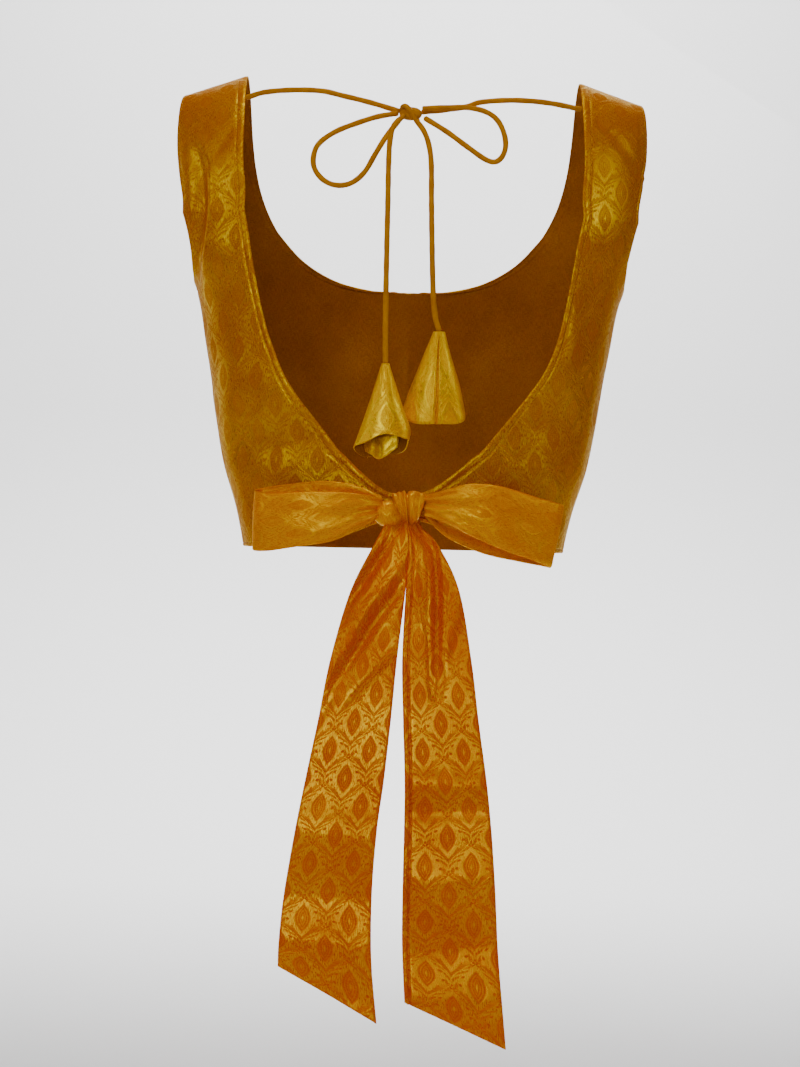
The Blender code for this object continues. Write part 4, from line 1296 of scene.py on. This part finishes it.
for tail_name, tail_rows, tail_creases, pleat_phase in (
    ("tail_left", TAIL_LEFT_ROWS, TAIL_LEFT_CREASES, 0.0),
    ("tail_right", TAIL_RIGHT_ROWS, TAIL_RIGHT_CREASES, 1.2),
):
    tail_points, tail_weave, places, part = ribbon(
        [(ox, y, oz, ix, y, iz) for ox, oz, ix, iz, y in tail_rows]
    )
    lift = crease_lift(tail_points, tail_creases)
    lift += gathers(places, part, 0, TAIL_PLEATS, pleat_phase, TAIL_PLEAT_HEIGHT)
    lift += folded_edges(part)
    if tail_name == "tail_right":
        row_width = np.linalg.norm(tail_points[:, -1] - tail_points[:, 0], axis=1)[:, None]
        from_seam = (1 - part) * np.maximum(row_width, LEAST_WIDTH)
        across_strip = from_seam / (SEAM_STRIP / 2) - 1
        lift += SEAM_STRIP_HEIGHT * np.exp(-(across_strip**4)) + ridge(from_seam, SEAM_STRIP_GROOVE)
    tail_points[..., 1] += lift
    tail_piece = cloth_piece(
        tail_name + "_ribbon",
        [(tail_points, tail_weave, TAIL_BEHIND, False, False)],
        [shaded_tail_silk],
        SASH_CLOTH,
    )
    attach(tail_piece, "root")
    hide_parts(tail_name)

# Sash knot: one turn of the ribbon, pleated lengthwise and pulled tight over the other, which
# swells out beside it as a rounded lobe. A packed core closes the band's inside.
SASH_KNOT = (0.0013, 0.0846, -0.3133)
LUMP_ROWS = 24
LUMP_SIDES = 40
BAND_STEPS = 64
BAND_COLUMNS = 31
BAND_LENGTH = 0.076
BAND_CLOTH = 0.0012
# Middle and half width of the band where it is highest and lowest, and its reach out and up
BAND_TOP = (-0.0036, 0.0130)
BAND_BOTTOM = (-0.0046, 0.0056)
BAND_REACH = (0.0126, 0.0118)
# It rounds off towards both edges, and its pleats stand up less over the top than in front
BAND_EDGE_DROP = 0.0030
BAND_ROUND_DROP = 0.0012
BAND_TOP_SHARE = 0.6
# Across the band from its right edge, -1, to its left: height, place, half width
BAND_PLEATS = (
    (-0.0044, 0.15, 0.050),
    (0.0010, 0.30, 0.11),
    (-0.0018, 0.46, 0.06),
    (-0.0020, 0.74, 0.07),
    (0.0009, -0.22, 0.24),
    (-0.0008, -0.62, 0.08),
)
LOBE_MIDDLE = (0.0108, 0.0858, -0.3178)
LOBE_HALF = (0.0116, 0.0080, 0.0096)
LOBE_SQUARE = 2.0
KNOT_CORE_MIDDLE = (-0.0010, 0.0846, -0.3133)
KNOT_CORE_HALF = (0.0110, 0.0084, 0.0082)
KNOT_CORE_SQUARE = 2.4

band_turn = np.linspace(0, 2 * math.pi, BAND_STEPS, endpoint=False)[None, :]
band_across = np.linspace(-1, 1, BAND_COLUMNS)[:, None]
band_height = (1 + np.cos(band_turn)) / 2
band_middle = BAND_BOTTOM[0] + (BAND_TOP[0] - BAND_BOTTOM[0]) * band_height
band_half = BAND_BOTTOM[1] + (BAND_TOP[1] - BAND_BOTTOM[1]) * band_height
band_swell = sum(ridge(band_across, pleat) for pleat in BAND_PLEATS)
band_swell -= BAND_EDGE_DROP * band_across**6 + BAND_ROUND_DROP * band_across**2
band_points = np.stack(
    np.broadcast_arrays(
        band_middle + band_half * band_across,
        SASH_KNOT[1] + (BAND_REACH[0] + band_swell) * np.sin(band_turn),
        SASH_KNOT[2] + (BAND_REACH[1] + band_swell * BAND_TOP_SHARE) * np.cos(band_turn),
    ),
    axis=-1,
)
band_run = np.linspace(0, BAND_LENGTH, BAND_STEPS + 1)[None, :]
band_weave = np.stack(np.broadcast_arrays(band_across * RIBBON_WIDTH / 2, band_run), axis=-1)
band_inside = np.array([0.0, SASH_KNOT[1], SASH_KNOT[2]]) + band_points * (1, 0, 0)
lobe_points, lobe_weave = packed_lump(LOBE_MIDDLE, LOBE_HALF, LOBE_SQUARE, LUMP_ROWS, LUMP_SIDES)
knot_core, knot_core_weave = packed_lump(
    KNOT_CORE_MIDDLE, KNOT_CORE_HALF, KNOT_CORE_SQUARE, LUMP_ROWS, LUMP_SIDES
)
bow_knot = cloth_piece(
    "bow_knot_band", [(band_points, band_weave, band_inside, True, False)], [lit_bow_silk], BAND_CLOTH
)
knot_lobes = cloth_piece(
    "bow_knot_lobes",
    [
        (lobe_points, lobe_weave, np.asarray(LOBE_MIDDLE), True, True),
        (knot_core, knot_core_weave, np.asarray(KNOT_CORE_MIDDLE), True, True),
    ],
    [lit_bow_silk],
)
for knot_piece in (bow_knot, knot_lobes):
    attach(knot_piece, "root")
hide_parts("bow_knot")

# Cone tassels: an offcut of the silk rolled to a cone round each end of the dori and sewn down
# its length with the blouse's own stitches. The wide end is open, and the left one's edge is
# turned in as a flap.
TASSEL_CLOTH = 0.0009
TASSEL_SIDES = 48
TASSEL_SPLITS = 12
# Rings down each: centre_x, centre_y, centre_z, half_width, half_depth, front_lift
TASSEL_LEFT_RINGS = (
    (0.0156, 0.1040, -0.2113, 0.0028, 0.0028, 0.0000),
    (0.0150, 0.1040, -0.2380, 0.0112, 0.0075, 0.0000),
    (0.0146, 0.1040, -0.2590, 0.0182, 0.0100, 0.0030),
    (0.0162, 0.1040, -0.2700, 0.0196, 0.0110, 0.0074),
)
TASSEL_RIGHT_RINGS = (
    (-0.0223, 0.0890, -0.1868, 0.0042, 0.0035, 0.0000),
    (-0.0213, 0.0885, -0.2037, 0.0099, 0.0065, 0.0000),
    (-0.0209, 0.0880, -0.2249, 0.0172, 0.0093, -0.0020),
    (-0.0203, 0.0880, -0.2460, 0.0232, 0.0100, -0.0080),
)
tassel_silk = jacquard(
    "gold jacquard offcut",
    deep=silk_colour(216, 124, 0),
    lit=silk_colour(236, 158, 0),
    gold=silk_colour(255, 234, 0),
    shine=0.48,
    figure_shine=0.28,
    slope=0.10,
)
# The closing seam is a slit down each cone, with a lip to one side of it and the stitches to the
# other. Its parts are given by height, place and half width, with turns round the cone in radians.
SLIT_COLUMNS = (-0.20, -0.13, -0.08, -0.045, -0.02, 0.0, 0.02, 0.045, 0.08, 0.13, 0.20)
SLIT = (0.0026, 0.0, 0.035)
SLIT_LIP = (0.0005, -0.13, 0.06)
SEAM_STITCHES_AT = 0.13
SEAM_STITCHES_FROM = 3
# The soft cloth's crumple is given for a mouth of this half width
CRUMPLED_HALF_WIDTH = 0.02
# Turned-in flap that shows in the left cone's mouth: rows of x, y, z from its left edge to its right
MOUTH_FLAP = (
    (
        (0.0300, 0.0985, -0.2650),
        (0.0235, 0.1020, -0.2630),
        (0.0165, 0.0975, -0.2620),
        (0.0050, 0.0990, -0.2590),
    ),
    (
        (0.0295, 0.0985, -0.2710),
        (0.0232, 0.1030, -0.2715),
        (0.0168, 0.0975, -0.2710),
        (0.0050, 0.0985, -0.2650),
    ),
    (
        (0.0288, 0.0985, -0.2740),
        (0.0236, 0.1025, -0.2766),
        (0.0176, 0.0975, -0.2790),
        (0.0056, 0.0985, -0.2705),
    ),
)
FLAP_SPLITS = (4, 8)


def fine_flap(rows):
    """The flap's surface, smooth down its rows and across them."""
    down = np.linspace(0, len(rows) - 1, (len(rows) - 1) * FLAP_SPLITS[0] + 1)
    across = np.linspace(0, len(rows[0]) - 1, (len(rows[0]) - 1) * FLAP_SPLITS[1] + 1)
    fine_rows = smooth_rows(np.reshape(rows, (len(rows), -1)), down)
    return np.stack([smooth_rows(row.reshape(-1, 3), across) for row in fine_rows])


tassel_seams = []
for tassel_name, tassel_rings, seam_turn, lift_turn, crumple in (
    ("tassel_left", TASSEL_LEFT_RINGS, 5.2, 0.4, 0.0012),
    ("tassel_right", TASSEL_RIGHT_RINGS, 1.62, 0.0, 0.0008),
):
    last_ring = len(tassel_rings) - 1
    places = np.linspace(0, last_ring, last_ring * TASSEL_SPLITS + 1)
    rings = smooth_rows(tassel_rings, places)
    centre_x, centre_y, centre_z, half_width, half_depth, front_lift = rings.T[:, :, None]
    turn = np.linspace(0, 2 * math.pi, TASSEL_SIDES + 1)
    turn = np.unique(np.concatenate([turn, seam_turn + np.asarray(SLIT_COLUMNS)]))[None, :]
    low = (places[:, None] / last_ring) ** 3
    slit = ridge(turn - seam_turn, SLIT) * np.minimum(1, places[:, None])
    slit = slit - ridge(turn - seam_turn, SLIT_LIP)
    waves = np.sin(3 * turn + 0.7) + 0.6 * np.sin(5 * turn + 2)
    uneven = 1 + (low * crumple / CRUMPLED_HALF_WIDTH) * waves
    tassel_points = np.stack(
        [
            centre_x + (half_width * uneven - slit) * np.cos(turn),
            centre_y + (half_depth * uneven - slit) * np.sin(turn),
            centre_z + front_lift * np.sin(turn - lift_turn) + low * crumple * np.sin(4 * turn + 1.3),
        ],
        axis=-1,
    )[:, :-1]
    tassel_weave = np.stack(
        np.broadcast_arrays(turn * half_width.max(), run_along(rings[:, :3])[:, None]), axis=-1
    )
    tassel_grids = [(tassel_points, tassel_weave, rings[:, None, :3], True, False)]
    if tassel_name == "tassel_left":
        flap = fine_flap(MOUTH_FLAP)
        tassel_grids.append((flap, flap[..., [0, 2]], flap - (0.0, 1.0, 0.0), False, False))
    tassel_piece = cloth_piece(
        tassel_name + "_cone", tassel_grids, [tassel_silk, wrong_side], TASSEL_CLOTH
    )
    beside = np.argmin(np.abs(turn[0] - seam_turn - SEAM_STITCHES_AT))
    tassel_seams.append(tassel_points[SEAM_STITCHES_FROM:, beside])
    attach(tassel_piece, "root")
    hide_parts(tassel_name)

tassel_stitches = [
    sewn_stitches(name + "_stitches", [line], sewing_tree, STITCH_PITCH, STITCH_LENGTH, THREAD_WIDTH)
    for name, line in zip(("tassel_left", "tassel_right"), tassel_seams)
]

for dori_piece, dori_exit, dori_line in dori_pieces:
    dori_name = dori_piece.name.removesuffix("_tube")

# Studio: pale paper on the floor that curves up into a wall. From its back it is see-through, so that
# the blouse's front side can be looked at. Soft lights: two before the open back, one to each side,
# one far left, one high up for the wall and one behind the blouse.
FLOOR = -0.760
FLOOR_START = 3.0
CURVE_START = -1.2
CURVE_RADIUS = 0.6
CURVE_STEPS = 12
WALL_TOP = 2.6
PAPER_HALF_WIDTH = 3.5
STUDIO_PALE = (0.74, 0.74, 0.74, 1.0)
AIR_COLOUR = (0.95, 0.97, 1.0, 1.0)
AIR_STRENGTH = 0.04

cove_turn = np.linspace(0, math.pi / 2, CURVE_STEPS + 1)
curve_y = CURVE_START - CURVE_RADIUS * np.sin(cove_turn)
curve_z = FLOOR + CURVE_RADIUS - CURVE_RADIUS * np.cos(cove_turn)
cove_line = [(FLOOR_START, FLOOR), *zip(curve_y, curve_z), (CURVE_START - CURVE_RADIUS, WALL_TOP)]
studio_mesh = bpy.data.meshes.new("studio_cove")
studio_mesh.from_pydata(
    [(side * PAPER_HALF_WIDTH, y, z) for y, z in cove_line for side in (-1, 1)],
    [],
    [(2 * i, 2 * i + 2, 2 * i + 3, 2 * i + 1) for i in range(len(cove_line) - 1)],
)
studio_mesh.shade_smooth()
studio_paper, paper_output, paper_start = empty_material("pale paper")
paper_shader = paper_start.node(
    "ShaderNodeBsdfPrincipled", {}, {"Base Color": STUDIO_PALE, "Roughness": 0.9}
)
seen_from_back = paper_start.node("ShaderNodeNewGeometry", {}, {}, output="Backfacing")
see_through = paper_start.node("ShaderNodeBsdfTransparent", {}, {})
paper_or_nothing = paper_start.node(
    "ShaderNodeMixShader", {}, {0: seen_from_back, 1: paper_shader, 2: see_through}
)
studio_paper.node_tree.links.new(paper_or_nothing.socket, paper_output.inputs["Surface"])
studio_mesh.materials.append(studio_paper)
studio_cove = bpy.data.objects.new("studio_cove", studio_mesh)
bpy.context.scene.collection.objects.link(studio_cove)

# Name, place, aimed at, size, power, spread in degrees
SOFT_LIGHTS = (
    ("light high in front", (0.40, 1.25, 1.90), (0.0, 0.05, -0.20), 1.60, 15.5, 180),
    ("light in front", (0.40, 2.10, 0.12), (0.0, 0.05, -0.35), 0.90, 9.5, 180),
    ("light left", (1.50, 0.85, 0.50), (0.0, 0.05, -0.15), 1.00, 4.6, 180),
    ("light right", (-1.50, 0.85, 0.50), (0.0, 0.05, -0.15), 1.00, 6.6, 180),
    ("light far left", (1.50, -0.90, 0.00), (0.0, 0.0, -0.20), 0.80, 2.5, 180),
    ("light on the wall", (0.0, -0.60, 1.90), (0.0, -1.70, -0.05), 1.20, 66.0, 92),
    ("light behind", (-0.60, -1.50, 0.70), (0.0, 0.0, -0.25), 1.00, 5.0, 180),
)
for light_name, place, aim, size, power, spread in SOFT_LIGHTS:
    light_data = bpy.data.lights.new(light_name, "AREA")
    light_data.shape = "SQUARE"
    light_data.size = size
    light_data.energy = power
    light_data.spread = math.radians(spread)
    light = bpy.data.objects.new(light_name, light_data)
    light.visible_camera = False
    light.location = place
    light.rotation_euler = (Vector(aim) - Vector(place)).to_track_quat("-Z", "Y").to_euler()
    bpy.context.scene.collection.objects.link(light)

world = bpy.data.worlds.new("studio air")
world.use_nodes = True
air = world.node_tree.nodes["Background"]
air.inputs["Color"].default_value = AIR_COLOUR
air.inputs["Strength"].default_value = AIR_STRENGTH
bpy.context.scene.world = world
